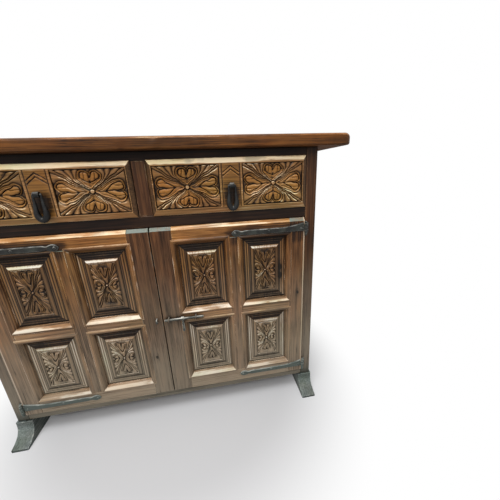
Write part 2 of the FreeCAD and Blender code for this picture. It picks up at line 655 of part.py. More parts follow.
# Doors: a tenoned frame with a muntin, mitred mouldings and four fielded panels
def door(side):
    name = SIDE_NAMES[side]
    frame_y = (DOOR_FACE, DOOR_BACK)
    columns = {"lock": LOCK_COLUMN, "hinge": HINGE_COLUMN}
    rows = {"lower": (LOWER_LOW, LOWER_HIGH), "upper": (UPPER_LOW, UPPER_HIGH)}
    tongues, mouldings, panels = [], [], []
    for column, limits in columns.items():
        for row, z in rows.items():
            stem = f"{name}_door_{row}_{column}"
            x = on_side(side, *limits)
            tongue, panel = door_panel(stem, x, z)
            tongues.append(tongue)
            panels.append(panel)
            mouldings.append(panel_moulding(stem, x, z))
    publish(f"{name}_door_panels", group(f"{name}_door_panel_group", panels))
    publish(f"{name}_door_mouldings", group(f"{name}_door_moulding_group", mouldings))

    grooves = group(f"{name}_door_grooves", tongues)
    between = on_side(side, LOCK_STILE[1], HINGE_STILE[0])
    muntin_x = on_side(side, LOCK_COLUMN[1], HINGE_COLUMN[0])
    muntin_z = (LOWER_LOW, UPPER_HIGH)
    mid_z = (LOWER_HIGH, UPPER_LOW)
    muntin_tenon_z = grown(muntin_z, "Sizes.framed_tenon_length")
    muntin_tenon_x = shrunk(muntin_x, "Sizes.framed_tenon_shoulder")
    muntin_tenon = block(f"{name}_muntin_tenon", muntin_tenon_x, TONGUE_Y, muntin_tenon_z)
    rail_levels = {"top_rail": (UPPER_HIGH, LEAF_HIGH), "bottom_rail": (LEAF_LOW, LOWER_LOW)}
    edge_tool = door_edge_bevel(name, side)

    stile_tenons, rails = [], {}
    for rail, z in rail_levels.items():
        bar, tenon = door_bar(f"{name}_door_{rail}", between, z)
        stile_tenons.append(tenon)
        cutters = (grooves, muntin_tenon, edge_tool) if rail == "top_rail" else (grooves, muntin_tenon)
        rails[rail] = cut(f"{name}_door_{rail}_cut", bar, *cutters)
    mid_bars, mid_tenons = [], []
    for column, limits in columns.items():
        bar, tenon = door_bar(f"{name}_door_{column}_mid_rail", on_side(side, *limits), mid_z)
        mid_bars.append(cut(f"{name}_door_{column}_mid_rail_cut", bar, grooves))
        mid_tenons.append(tenon)
    for rail, piece in rails.items():
        publish(f"{name}_door_{rail}", piece)
    publish(f"{name}_door_mid_rails", group(f"{name}_door_mid_rail_group", mid_bars))
    muntin_bar = block(f"{name}_muntin_bar", muntin_x, frame_y, muntin_z)
    muntin = fuse(f"{name}_muntin_joined", muntin_bar, muntin_tenon)
    publish(f"{name}_door_muntin", cut(f"{name}_muntin_cut", muntin, grooves, *mid_tenons))
    for stile, limits in {"lock_stile": LOCK_STILE, "hinge_stile": HINGE_STILE}.items():
        bar = block(f"{name}_{stile}_bar", on_side(side, *limits), frame_y, (LEAF_LOW, LEAF_HIGH))
        cutters = (grooves, edge_tool, *stile_tenons, *mid_tenons)
        publish(f"{name}_door_{stile}", cut(f"{name}_{stile}_cut", bar, *cutters))


def door_bar(stem, x, z):
    """A door rail with a tenon at each end; gives the rail and the tenons as one bar."""
    tenon_x = grown(x, "Sizes.framed_tenon_length")
    tenon = block(f"{stem}_tenon", tenon_x, TONGUE_Y, shrunk(z, "Sizes.framed_tenon_shoulder"))
    return fuse(f"{stem}_joined", block(f"{stem}_bar", x, (DOOR_FACE, DOOR_BACK), z), tenon), tenon


def door_edge_bevel(name, side):
    """The wedge that slopes the door's upper front edge."""
    x = on_side(side, DOOR_IN, DOOR_OUT)
    low = f"({LEAF_HIGH} - Sizes.door_edge_bevel)"
    inner_y = f"({DOOR_FACE} + Sizes.door_edge_bevel)"
    tall, thin = (low, LEAF_HIGH), (LEAF_HIGH, LEAF_HIGH)
    return frustum(f"{name}_door_edge_tool", (DOOR_FACE, inner_y), (x, tall), (x, thin))


def panel_moulding(stem, x, z):
    """A mitred ring in a panel opening that slopes in from the door's face."""
    ring_y = (DOOR_FACE, QUIRK)
    narrow_x, narrow_z = shrunk(x, "Sizes.moulding_width"), shrunk(z, "Sizes.moulding_width")
    bar = block(f"{stem}_moulding_bar", x, ring_y, z)
    funnel = frustum(f"{stem}_funnel", ring_y, (x, z), (narrow_x, narrow_z))
    return cut(f"{stem}_moulding", bar, funnel)


def door_panel(stem, x, z):
    """A tongue in the frame, a slope and a tablet with sloped edges; gives the tongue and the panel."""
    tongue_x, tongue_z = grown(x, "Sizes.tongue_depth"), grown(z, "Sizes.tongue_depth")
    tongue = block(f"{stem}_tongue", tongue_x, TONGUE_Y, tongue_z)
    slope_x, slope_z = shrunk(x, "Sizes.moulding_width"), shrunk(z, "Sizes.moulding_width")
    base_x = shrunk(slope_x, "Sizes.tablet_side_margin")
    base_z = shrunk(slope_z, "Sizes.tablet_end_margin")
    face_x, face_z = shrunk(base_x, "Sizes.tablet_edge_width"), shrunk(base_z, "Sizes.tablet_edge_width")
    base_y = f"({QUIRK} - Sizes.panel_slope_rise)"
    face_y = f"({base_y} - Sizes.tablet_rise)"
    slope = frustum(f"{stem}_slope", (base_y, QUIRK), (base_x, base_z), (slope_x, slope_z))
    tablet = frustum(f"{stem}_tablet", (face_y, base_y), (face_x, face_z), (base_x, base_z))
    return tongue, fuse(f"{stem}_panel", tongue, slope, tablet)


# Strap hinges: a strap on the door, a bent leaf on the post, a pin through three knuckles
def strap_hinges():
    leaves, pins, leaf_nails = [], [], []
    for side, name in SIDE_NAMES.items():
        straps, strap_nails = [], []
        for place, level in HINGE_LEVELS.items():
            stem = f"{name}_{place}_hinge"
            straps.append(strap(stem, side, level))
            strap_nails += strap_nail_row(stem, side, level)
            leaves.append(hinge_leaf(stem, side, level))
            pins.append(hinge_pin(stem, side, level))
            nail_x = at_side(side, f"({INNER} + Sizes.leaf_thickness + Sizes.leaf_width / 2)")
            nail_y = f"({FRONT} - Sizes.leaf_thickness)"
            for rung, nail_z in enumerate(about(level, "Sizes.leaf_nail_spacing")):
                leaf_nails.append(nail(f"{stem}_leaf_nail_{rung}", nail_x, nail_y, nail_z))
        publish(f"{name}_door_straps", group(f"{name}_strap_group", straps))
        publish(f"{name}_door_strap_nails", group(f"{name}_strap_nail_group", strap_nails))
    publish("hinge_leaves", group("hinge_leaf_group", leaves))
    publish("hinge_pins", group("hinge_pin_group", pins))
    publish("leaf_nails", group("leaf_nail_group", leaf_nails))


def knuckle(stem, side, middle):
    """One barrel of a hinge about a middle height."""
    height = "Sizes.knuckle_height"
    low = about(middle, height)[0]
    return rod(stem, UPRIGHT, "Sizes.knuckle_radius", height, at_side(side, HINGE_X), HINGE_Y, low)


def hinge_bore(stem, side, level, clearance):
    """The hole through a hinge's knuckles, longer than the barrel that they make."""
    length = f"({BARREL} + Sizes.knuckle_height)"
    low = about(level, length)[0]
    radius = f"Sizes.hinge_pin_radius + {clearance}"
    return rod(stem, UPRIGHT, radius, length, at_side(side, HINGE_X), HINGE_Y, low)


def strap(stem, side, level):
    """A flat bar on the door's face, with a round free end, that rises towards its knuckle."""
    plate_y = (f"({DOOR_FACE} - Sizes.strap_thickness)", DOOR_FACE)
    flare_end = f"({HINGE_X} - Sizes.knuckle_radius - Sizes.hinge_standoff)"
    flare_start = f"({flare_end} - Sizes.strap_flare_length)"
    finial_x = f"({HINGE_X} - Sizes.strap_length + Sizes.strap_finial_width / 2)"
    bar_x = on_side(side, finial_x, flare_end)
    wrap_x = on_side(side, flare_end, HINGE_X)
    bar = block(f"{stem}_strap_bar", bar_x, plate_y, about(level, "Sizes.strap_width"))
    flare = strap_flare(f"{stem}_strap_flare", side, (flare_start, flare_end), level)
    finial_radius = "Sizes.strap_finial_width / 2"
    finial_place = (at_side(side, finial_x), DOOR_FACE, level)
    finial = rod(f"{stem}_strap_finial", TO_FRONT, finial_radius, "Sizes.strap_thickness", *finial_place)
    wrap = block(f"{stem}_strap_wrap", wrap_x, plate_y, about(level, "Sizes.knuckle_height"))
    barrel = knuckle(f"{stem}_strap_knuckle", side, level)
    bore = hinge_bore(f"{stem}_strap_bore", side, level, "Sizes.hinge_pin_clearance")
    return cut(f"{stem}_strap", fuse(f"{stem}_strap_solid", bar, flare, finial, wrap, barrel), bore)


def strap_flare(name, side, x, level):
    """The stretch of a strap whose upper edge rises to the knuckle."""
    body = doc.addObject("PartDesign::Body", f"{name}_body")
    low, high = about(level, "Sizes.strap_width")
    start, end = (at_side(side, place) for place in x)
    corners = ((start, low), (end, low), (end, f"({high} + Sizes.strap_flare_rise)"), (start, high))
    pad(body, outline(body, f"{name}_outline", "XZ_Plane", corners), "Sizes.strap_thickness")
    body.setExpression("Placement.Base.y", DOOR_FACE)
    return body


def strap_nail_row(stem, side, level):
    """Nail heads evenly spaced along a strap."""
    first = f"({HINGE_X} - Sizes.strap_length + Sizes.strap_finial_width / 2)"
    last = f"({HINGE_X} - Sizes.nail_margin)"
    face = f"({DOOR_FACE} - Sizes.strap_thickness)"
    heads = []
    for index in range(NAILS_PER_STRAP):
        place = f"({first} + ({last} - {first}) * {index} / {NAILS_PER_STRAP - 1})"
        heads.append(nail(f"{stem}_strap_nail_{index}", at_side(side, place), face, level))
    return heads


def hinge_leaf(stem, side, level):
    """A plate on the post, with two webs that carry the outer knuckles."""
    pitch = "(Sizes.knuckle_height + Sizes.knuckle_gap)"
    web_x = on_side(side, INNER, f"({INNER} + Sizes.leaf_thickness)")
    plate_x = on_side(side, INNER, f"({INNER} + Sizes.leaf_thickness + Sizes.leaf_width)")
    plate_y = (f"({FRONT} - Sizes.leaf_thickness)", FRONT)
    pieces = [block(f"{stem}_leaf_plate", plate_x, plate_y, about(level, BARREL))]
    for rung in (-1, 1):
        middle = f"({level} + {rung} * {pitch})"
        web_z = about(middle, "Sizes.knuckle_height")
        pieces.append(block(f"{stem}_leaf_web_{rung + 1}", web_x, (HINGE_Y, FRONT), web_z))
        pieces.append(knuckle(f"{stem}_leaf_knuckle_{rung + 1}", side, middle))
    solid = fuse(f"{stem}_leaf_solid", *pieces)
    return cut(f"{stem}_leaf", solid, hinge_bore(f"{stem}_leaf_bore", side, level, "0"))


def hinge_pin(stem, side, level):
    """A pin with a small ball at each end."""
    length = f"({BARREL} + Sizes.hinge_pin_head_radius)"
    x = at_side(side, HINGE_X)
    ends = about(level, length)
    shank = rod(f"{stem}_pin_shank", UPRIGHT, "Sizes.hinge_pin_radius", length, x, HINGE_Y, ends[0])
    reach = f"({BARREL} + 2 * Sizes.hinge_pin_head_radius)"
    heads = [
        ball(f"{stem}_pin_head_{rung}", "Sizes.hinge_pin_head_radius", x, HINGE_Y, z)
        for rung, z in enumerate(about(level, reach))
    ]
    return fuse(f"{stem}_pin", shank, *heads)


# Latch: a round bolt in two staples on the right door, a swinging drop on it, a keeper on the left door
def latch():
    bolt = rod("bolt_bar", ALONG_X, "Sizes.bolt_radius", "Sizes.bolt_length", BOLT_TIP, BOLT_Y, BOLT_Z)
    publish("latch_bolt", bolt)
    places = {
        "near": f"({DOOR_IN} + Sizes.near_staple_place)",
        "far": f"({DOOR_IN} + Sizes.far_staple_place)",
    }
    staples = [staple(f"{key}_staple", x) for key, x in places.items()]
    publish("latch_staples", group("staple_group", staples))
    publish("latch_keeper", staple("keeper_staple", f"-({DOOR_IN} + Sizes.keeper_place)"))

    middle = f"({BOLT_TIP} + Sizes.drop_place)"
    width = "Sizes.drop_collar_width"
    collar_start = about(middle, width)[0]
    collar = rod("drop_collar", ALONG_X, "Sizes.drop_collar_radius", width, collar_start, BOLT_Y, BOLT_Z)
    bore_radius = "Sizes.bolt_radius + Sizes.drop_bore_clearance"
    bore = rod("drop_bore", ALONG_X, bore_radius, width, collar_start, BOLT_Y, BOLT_Z)
    body = doc.addObject("PartDesign::Body", "drop_blade_body")
    foot_z = f"({BOLT_Z} - Sizes.drop_length + Sizes.drop_foot_width / 2)"
    top_x, foot_x = about(middle, "Sizes.drop_top_width"), about(middle, "Sizes.drop_foot_width")
    corners = ((foot_x[0], foot_z), (foot_x[1], foot_z), (top_x[1], BOLT_Z), (top_x[0], BOLT_Z))
    pad(body, outline(body, "drop_blade", "XZ_Plane", corners), "Sizes.drop_thickness")
    blade_back = f"({BOLT_Y} + Sizes.drop_thickness / 2)"
    body.setExpression("Placement.Base.y", blade_back)
    foot_place = (middle, blade_back, foot_z)
    foot = rod("drop_foot", TO_FRONT, "Sizes.drop_foot_width / 2", "Sizes.drop_thickness", *foot_place)
    publish("latch_drop", cut("drop_bored", fuse("drop_solid", collar, body, foot), bore))


def staple(stem, x):
    """A wire arch over the bolt, with two legs on the door's face."""
    wire = "Sizes.staple_wire_radius"
    span = f"(Sizes.bolt_radius + Sizes.staple_clearance + {wire})"
    arch = doc.addObject("Part::Torus", f"{stem}_arch")
    arch.Placement = FreeCAD.Placement(FreeCAD.Vector(), ARCH_TO_FRONT)
    arch.setExpression("Radius1", span)
    arch.setExpression("Radius2", wire)
    arch.Angle3 = HALF_TURN
    locate(arch, x, BOLT_Y, BOLT_Z)
    legs = [
        rod(f"{stem}_leg_{rung}", TO_BACK, wire, "Sizes.bolt_standoff", x, BOLT_Y, z)
        for rung, z in enumerate(grown((BOLT_Z, BOLT_Z), span))
    ]
    return fuse(stem, arch, *legs)


top_slab()
joined_tenons = front_frame()
back_posts = [side_frame(side, joined_tenons) for side in (LEFT, RIGHT)]
publish("rear_posts", group("rear_post_group", back_posts))
inner_boards()
for half in (LEFT, RIGHT):
    runner_foot(half)
    drawer(half)
    door(half)
strap_hinges()
latch()
doc.recompute()

# Nothing is written unless every object came out sound
for item in doc.Objects:
    if "Invalid" in item.State or "Error" in item.State:
        raise RuntimeError(f"{item.Label} failed: {item.State}")
for piece in subparts:
    if piece.Shape.isNull() or not piece.Shape.isValid() or not piece.Shape.Solids:
        raise RuntimeError(f"{piece.Label} has no sound solid")

os.makedirs("parts", exist_ok=True)
for piece in subparts:
    piece.Shape.exportStep(f"parts/{piece.Label}.step")
print(f"{len(subparts)} sub-parts written")
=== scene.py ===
# %% [markdown]
# # A carved two-door credenza
#
# The piece is a low sideboard in stained wood: a thick slab on top, two carved drawers, two doors with
# four carved panels each, iron strap hinges and a small bolt. The construction arrives as a finished
# frame of solids. This lesson dresses that frame: it adds the camera, the light, the carved and moulded
# surfaces that hands and gouges gave the real thing, and a finish for every surface.

# %% Load the frame
import json
import math

import bpy
import numpy as np
from mathutils import Matrix, Vector


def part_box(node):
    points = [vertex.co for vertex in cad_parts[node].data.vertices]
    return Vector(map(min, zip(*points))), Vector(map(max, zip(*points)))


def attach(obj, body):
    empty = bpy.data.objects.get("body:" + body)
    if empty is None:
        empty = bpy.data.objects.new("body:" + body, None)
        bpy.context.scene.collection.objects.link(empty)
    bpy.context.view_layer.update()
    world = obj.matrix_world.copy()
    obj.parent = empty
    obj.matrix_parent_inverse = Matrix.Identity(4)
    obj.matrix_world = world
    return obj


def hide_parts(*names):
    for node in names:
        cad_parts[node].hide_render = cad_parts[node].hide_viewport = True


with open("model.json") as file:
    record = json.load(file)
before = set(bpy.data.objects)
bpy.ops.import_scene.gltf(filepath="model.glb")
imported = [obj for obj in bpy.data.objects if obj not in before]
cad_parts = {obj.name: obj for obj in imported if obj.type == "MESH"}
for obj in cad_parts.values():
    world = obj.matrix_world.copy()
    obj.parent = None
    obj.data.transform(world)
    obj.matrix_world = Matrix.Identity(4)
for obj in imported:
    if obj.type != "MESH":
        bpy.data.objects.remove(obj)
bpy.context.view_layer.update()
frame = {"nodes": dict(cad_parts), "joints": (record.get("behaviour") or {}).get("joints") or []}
JOINTS = {joint["name"]: joint for joint in frame["joints"]}
MM = 0.001
HANDS = {"left": -1, "right": 1}
SIDES = tuple(HANDS)
RNG_SEED = 7

# %% [markdown]
# ## The eye
#
# The photograph was taken close up with a wide lens, so its lines run together strongly. A camera can be
# placed by hand until it looks right, but here the lens and the three turns were worked out from the
# lines that run together, and they are written down as plain numbers. The eye stands 0.7 m in front of
# the rails, a little right of the middle, and just lower than the slab.

# %% Camera
FRAME_PIXELS = 500
FOCAL_PIXELS = 245
SENSOR_MM = 36
EYE_TURN, EYE_TILT, EYE_ROLL = (math.radians(angle) for angle in (-9.2, 17.5, -2.35))
EYE_DISTANCE, EYE_X, EYE_Z = 0.700, 0.167, 0.788
FRONT_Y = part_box("waist_rail")[0].y


def eye_matrix():
    """The camera's place and turn; the picture's own axes are right, down and away."""
    turned = (
        Matrix.Rotation(EYE_ROLL, 3, "Z")
        @ Matrix.Rotation(EYE_TILT, 3, "X")
        @ Matrix.Rotation(EYE_TURN, 3, "Y")
    )
    right, down, away = (Vector((row.x, row.z, -row.y)) for row in turned)
    axes = Matrix((right, -down, -away)).transposed()
    return Matrix.Translation((EYE_X, FRONT_Y - EYE_DISTANCE, EYE_Z)) @ axes.to_4x4()


camera = bpy.data.objects.new("camera", bpy.data.cameras.new("camera"))
camera.data.sensor_width = SENSOR_MM
camera.data.lens = FOCAL_PIXELS / FRAME_PIXELS * SENSOR_MM
camera.matrix_world = eye_matrix()
bpy.context.scene.collection.objects.link(camera)
bpy.context.scene.camera = camera
print("camera at", tuple(round(place, 3) for place in camera.location))

# %% [markdown]
# ## Small tools for node trees
#
# Materials are trees of nodes. Clicking them together in the editor is the usual way; in a script a few
# short helpers keep each line readable. `add` places a node and feeds its sockets by name, `calc` does
# arithmetic, `blend` mixes two colours and `ease` turns a range of values into a soft 0 to 1.

# %% Node helpers
MIX_FACTOR, MIX_FIRST, MIX_SECOND, MIX_RESULT = 0, 6, 7, 2
PICTURE_GREY, PICTURE_WHITE = 128, 255
SRGB_KNEE, SRGB_LOW_SLOPE, SRGB_OFFSET, SRGB_POWER = 0.04045, 12.92, 0.055, 2.4


def colour(red, green, blue):
    """A colour as a picture shows it, 0 to 255, turned into the light that Blender counts in."""
    linear = []
    for part in (red, green, blue):
        share = part / PICTURE_WHITE
        low = share / SRGB_LOW_SLOPE
        high = ((share + SRGB_OFFSET) / (1 + SRGB_OFFSET)) ** SRGB_POWER
        linear.append(low if share < SRGB_KNEE else high)
    return (*linear, 1.0)


def feed(tree, socket, value):
    """Link a socket, or set its value."""
    if isinstance(value, bpy.types.NodeSocket):
        tree.links.new(value, socket)
    else:
        socket.default_value = value


def add(tree, kind, options=None, **inputs):
    """Place a node, set its options and feed its sockets; an underscore stands for a space."""
    node = tree.nodes.new(kind)
    for option, value in (options or {}).items():
        setattr(node, option, value)
    for name, value in inputs.items():
        feed(tree, node.inputs[name.replace("_", " ")], value)
    return node


def calc(tree, operation, *values):
    """Arithmetic on values."""
    node = add(tree, "ShaderNodeMath", {"operation": operation})
    for socket, value in zip(node.inputs, values):
        feed(tree, socket, value)
    return node.outputs[0]


def vector_calc(tree, operation, *vectors):
    """Arithmetic on vectors; gives both of the node's outputs, Vector and Value."""
    node = add(tree, "ShaderNodeVectorMath", {"operation": operation})
    for socket, value in zip(node.inputs, vectors):
        feed(tree, socket, value)
    return node.outputs


def blend(tree, factor, first, second, mode="MIX"):
    """Two colours mixed by a factor."""
    node = add(tree, "ShaderNodeMix", {"data_type": "RGBA", "blend_type": mode})
    for place, value in ((MIX_FACTOR, factor), (MIX_FIRST, first), (MIX_SECOND, second)):
        feed(tree, node.inputs[place], value)
    return node.outputs[MIX_RESULT]


def ease(tree, value, low, high, to_low=0.0, to_high=1.0):
    """A value that eases from one level to another between two limits."""
    node = add(tree, "ShaderNodeMapRange", {"interpolation_type": "SMOOTHSTEP"}, Value=value)
    for name, limit in {"From Min": low, "From Max": high, "To Min": to_low, "To Max": to_high}.items():
        feed(tree, node.inputs[name], limit)
    return node.outputs["Result"]


grey_light = colour(PICTURE_GREY, PICTURE_GREY, PICTURE_GREY)[0]
print("a picture's middle grey is", round(grey_light, 3), "of white's light")

# %% Patterns, trees and groups
ORIGIN = (0, 0, 0)


def noise(tree, vector, scale, detail=3.0, roughness=0.5):
    """Soft random values around one half."""
    node = add(tree, "ShaderNodeTexNoise", Vector=vector, Scale=scale, Detail=detail, Roughness=roughness)
    return node.outputs["Fac"]


def stretch(tree, vector, factors):
    """Coordinates scaled along each axis, so that a pattern is drawn out along the small factors."""
    return vector_calc(tree, "MULTIPLY", vector, factors)["Vector"]


def component(tree, vector, axis):
    """One part of a vector, by the name of its axis."""
    return add(tree, "ShaderNodeSeparateXYZ", Vector=vector).outputs[axis]


def cleared_tree(owner):
    """The empty node tree of a new material or world."""
    owner.use_nodes = True
    owner.node_tree.nodes.clear()
    return owner.node_tree


def new_group(name, inputs, outputs):
    """An empty shader group with named sockets; gives the group and its two inner ends."""
    group = bpy.data.node_groups.new(name, "ShaderNodeTree")
    for label, (kind, default) in inputs.items():
        socket = group.interface.new_socket(label, in_out="INPUT", socket_type=f"NodeSocket{kind}")
        socket.default_value = default
    for label, kind in outputs.items():
        group.interface.new_socket(label, in_out="OUTPUT", socket_type=f"NodeSocket{kind}")
    inner = group.nodes.new("NodeGroupInput").outputs
    outer = group.nodes.new("NodeGroupOutput").inputs
    return group, inner, outer


def place_group(tree, group, **inputs):
    """One use of a shared group, with its own values."""
    return add(tree, "ShaderNodeGroup", {"node_tree": group}, **inputs).outputs


print("helpers for patterns, trees and groups are ready")

# %% [markdown]
# ## Light, floor and background
#
# The photograph shows the piece cut out on white with a soft shadow. A wide, low soft box stands in front
# and puts a line of light on every edge that faces up; a second hangs over the piece and throws the
# shadows down. The world fills the rest with a plain gradient. The floor is pale, and what the camera and
# the wax see of it turns white away from the piece.

# %% World and floor
WHITE = (1.0, 1.0, 1.0, 1.0)
WORLD_LOW, WORLD_HIGH = 0.10, 0.42
WORLD_RISE = (-0.1, 0.9)
FLOOR_HALF = 30.0
FLOOR_PALE = (0.57, 0.57, 0.58, 1.0)
SHADOW_RADII = (0.40, 0.74)


def seen_directly(tree):
    """One for what the camera sees, also in a mirror or through glass, and zero for light."""
    path = add(tree, "ShaderNodeLightPath").outputs
    mirrored = calc(tree, "MAXIMUM", path["Is Glossy Ray"], path["Is Transmission Ray"])
    return calc(tree, "MAXIMUM", path["Is Camera Ray"], mirrored)


def mix_shaders(tree, factor, first, second):
    """A shader that turns into another one as the factor goes from 0 to 1."""
    mixed = add(tree, "ShaderNodeMixShader", Fac=factor)
    tree.links.new(first.outputs[0], mixed.inputs[1])
    tree.links.new(second.outputs[0], mixed.inputs[2])
    return mixed.outputs[0]


def studio_world():
    """Fill light that grows towards the sky, seen as plain white."""
    world = bpy.data.worlds.new("studio")
    tree = cleared_tree(world)
    up = component(tree, add(tree, "ShaderNodeTexCoord").outputs["Generated"], "Z")
    strength = ease(tree, up, *WORLD_RISE, WORLD_LOW, WORLD_HIGH)
    fill = add(tree, "ShaderNodeBackground", Color=WHITE, Strength=strength)
    white = add(tree, "ShaderNodeBackground", Color=WHITE, Strength=1.0)
    mixed = mix_shaders(tree, seen_directly(tree), fill, white)
    add(tree, "ShaderNodeOutputWorld", Surface=mixed)
    bpy.context.scene.world = world


def pale_floor():
    """A matt floor that the camera and mirrors see turn white away from the piece."""
    material = bpy.data.materials.new("pale_floor")
    tree = cleared_tree(material)
    spot = add(tree, "ShaderNodeTexCoord").outputs["Object"]
    lift = ease(tree, vector_calc(tree, "LENGTH", spot)["Value"], *SHADOW_RADII)
    matt = add(tree, "ShaderNodeBsdfDiffuse", Color=FLOOR_PALE)
    glow = add(tree, "ShaderNodeEmission", Color=WHITE, Strength=1.0)
    mixed = mix_shaders(tree, calc(tree, "MULTIPLY", seen_directly(tree), lift), matt, glow)
    add(tree, "ShaderNodeOutputMaterial", Surface=mixed)
    return material


def studio_floor():
    """One large square under the piece."""
    mesh = bpy.data.meshes.new("floor")
    corners = [(x * FLOOR_HALF, y * FLOOR_HALF, 0) for x, y in ((-1, -1), (1, -1), (1, 1), (-1, 1))]
    mesh.from_pydata(corners, [], [(0, 1, 2, 3)])
    mesh.materials.append(pale_floor())
    floor = bpy.data.objects.new("floor", mesh)
    bpy.context.scene.collection.objects.link(floor)


bpy.context.scene.view_settings.view_transform = "Standard"
studio_world()
studio_floor()
print("world", bpy.context.scene.world.name, "and a floor", 2 * FLOOR_HALF, "m wide")

# %% Soft boxes
SOFT_BOXES = {
    "front_box": {"size": (2.6, 0.5), "place": Vector((-0.45, -2.00, 2.10)), "watts": 35},
    "high_box": {"size": (1.8, 0.8), "place": Vector((-0.15, -0.95, 2.60)), "watts": 41},
}
SOFT_BOX_AIM = Vector((0.20, -0.19, 0.45))


def soft_box(name, size, place, watts):
    """A wide lamp that looks at the middle of the doors."""
    lamp = bpy.data.lights.new(name, "AREA")
    lamp.shape = "RECTANGLE"
    lamp.size, lamp.size_y = size
    lamp.energy = watts
    holder = bpy.data.objects.new(name, lamp)
    holder.location = place
    holder.rotation_euler = (SOFT_BOX_AIM - place).to_track_quat("-Z", "Y").to_euler()
    bpy.context.scene.collection.objects.link(holder)


for name, box in SOFT_BOXES.items():
    soft_box(name, **box)
print("soft boxes:", ", ".join(f"{name} {box['watts']} W" for name, box in SOFT_BOXES.items()))

# %% [markdown]
# ## Wood figure
#
# Every board shows the same wood: slow rings cut lengthwise, fine fibres and short dark pores, all drawn
# out along the grain. An image could be wrapped on, but a pattern worked out in space never shows a seam
# and runs through the solid as real grain does. The group takes coordinates whose X runs along the grain.

# %% Group: wood figure
RING_STRETCH, RING_SCALE, RING_COUNT = (0.9, 9.0, 9.0), 3.4, 46.0
FIBRE_STRETCH, FIBRE_SCALE, FIBRE_RANGE = (0.45, 30.0, 30.0), 9.0, (0.34, 0.66)
PORE_STRETCH, PORE_SCALE, PORE_RANGE = (1.0, 22.0, 22.0), 26.0, (0.58, 0.70)
BLOTCH_STRETCH, BLOTCH_SCALE, BLOTCH_RANGE = (1.0, 2.0, 2.0), 5.0, (0.30, 0.70)
SEED_STEP = (3.7, 1.9, 2.3)


def make_wood_figure():
    """Rings, fibres, pores and blotches, each from 0 to 1; the seed moves to another part of the log."""
    inputs = {"Vector": ("Vector", ORIGIN), "Seed": ("Float", 0.0)}
    outputs = {"Rings": "Float", "Fibre": "Float", "Pores": "Float", "Blotch": "Float"}
    group, given, result = new_group("Wood figure", inputs, outputs)
    spot = vector_calc(group, "MULTIPLY_ADD", SEED_STEP, given["Seed"], given["Vector"])["Vector"]
    rings = noise(group, stretch(group, spot, RING_STRETCH), RING_SCALE, detail=2.0)
    wave = calc(group, "SINE", calc(group, "MULTIPLY", rings, RING_COUNT))
    feed(group, result["Rings"], calc(group, "MULTIPLY_ADD", wave, 0.5, 0.5))
    fibre = noise(group, stretch(group, spot, FIBRE_STRETCH), FIBRE_SCALE, detail=5.0, roughness=0.65)
    feed(group, result["Fibre"], ease(group, fibre, *FIBRE_RANGE))
    pores = noise(group, stretch(group, spot, PORE_STRETCH), PORE_SCALE, detail=2.0)
    feed(group, result["Pores"], ease(group, pores, *PORE_RANGE))
    blotch = noise(group, stretch(group, spot, BLOTCH_STRETCH), BLOTCH_SCALE, detail=3.0)
    feed(group, result["Blotch"], ease(group, blotch, *BLOTCH_RANGE))
    return group


WOOD_FIGURE = make_wood_figure()
print("group", WOOD_FIGURE.name)

# %% [markdown]
# ## Rubbed edges, and grime and painted shade in corners
#
# Hands rub the stain off the sharp edges, and wax and dirt stay in the corners, where shade is also painted
# in. Both can be painted by hand. Here a bevel node finds the edges, because its rounded normal leaves the
# flat one there, and an occlusion node finds the corners. Noise breaks both up.

# %% Groups: rubbed edges, and grime and painted shade
RAY_SAMPLES = 6
EDGE_RADIUS, EDGE_PATCHINESS = 0.005, 24.0
EDGE_MATCH, EDGE_PATCHES = (0.995, 0.90), (0.32, 0.56)
HAND_REACH, HAND_OPEN = 0.012, (0.30, 0.62)
GRIME_AND_SHADE_REACH, GRIME_AND_SHADE_RANGE = 0.03, (0.85, 0.30)
GRIME_AND_SHADE_SCALE, GRIME_AND_SHADE_WANDER = 18.0, 0.35


def openness(tree, reach):
    """How free a place is of its surroundings: 1 in the open and 0 deep in a corner."""
    return add(tree, "ShaderNodeAmbientOcclusion", {"samples": RAY_SAMPLES}, Distance=reach).outputs["AO"]


def make_rubbed_edges():
    """One on edges that stand out to the hand, broken up into patches."""
    inputs = {
        "Radius": ("Float", EDGE_RADIUS),
        "Patchiness": ("Float", EDGE_PATCHINESS),
        "Vector": ("Vector", ORIGIN),
    }
    group, given, result = new_group("Rubbed edges", inputs, {"Mask": "Float"})
    rounded = add(group, "ShaderNodeBevel", {"samples": RAY_SAMPLES}, Radius=given["Radius"])
    plain = add(group, "ShaderNodeNewGeometry")
    normals = (node.outputs["Normal"] for node in (rounded, plain))
    edge = ease(group, vector_calc(group, "DOT_PRODUCT", *normals)["Value"], *EDGE_MATCH)
    outward = ease(group, openness(group, HAND_REACH), *HAND_OPEN)
    patches = ease(group, noise(group, given["Vector"], given["Patchiness"], detail=4.0), *EDGE_PATCHES)
    feed(group, result["Mask"], calc(group, "MULTIPLY", calc(group, "MULTIPLY", edge, outward), patches))
    return group


def make_grime():
    """Grime and painted shade: one in corners, with an uneven border."""
    inputs = {"Reach": ("Float", GRIME_AND_SHADE_REACH), "Vector": ("Vector", ORIGIN)}
    group, given, result = new_group("Grime and painted shade in corners", inputs, {"Mask": "Float"})
    wander = calc(group, "SUBTRACT", noise(group, given["Vector"], GRIME_AND_SHADE_SCALE, detail=4.0), 0.5)
    level = calc(group, "MULTIPLY_ADD", wander, GRIME_AND_SHADE_WANDER, openness(group, given["Reach"]))
    feed(group, result["Mask"], ease(group, level, *GRIME_AND_SHADE_RANGE))
    return group


RUBBED_EDGES = make_rubbed_edges()
GRIME_AND_SHADE = make_grime()
print("groups", [group.name for group in (RUBBED_EDGES, GRIME_AND_SHADE)])
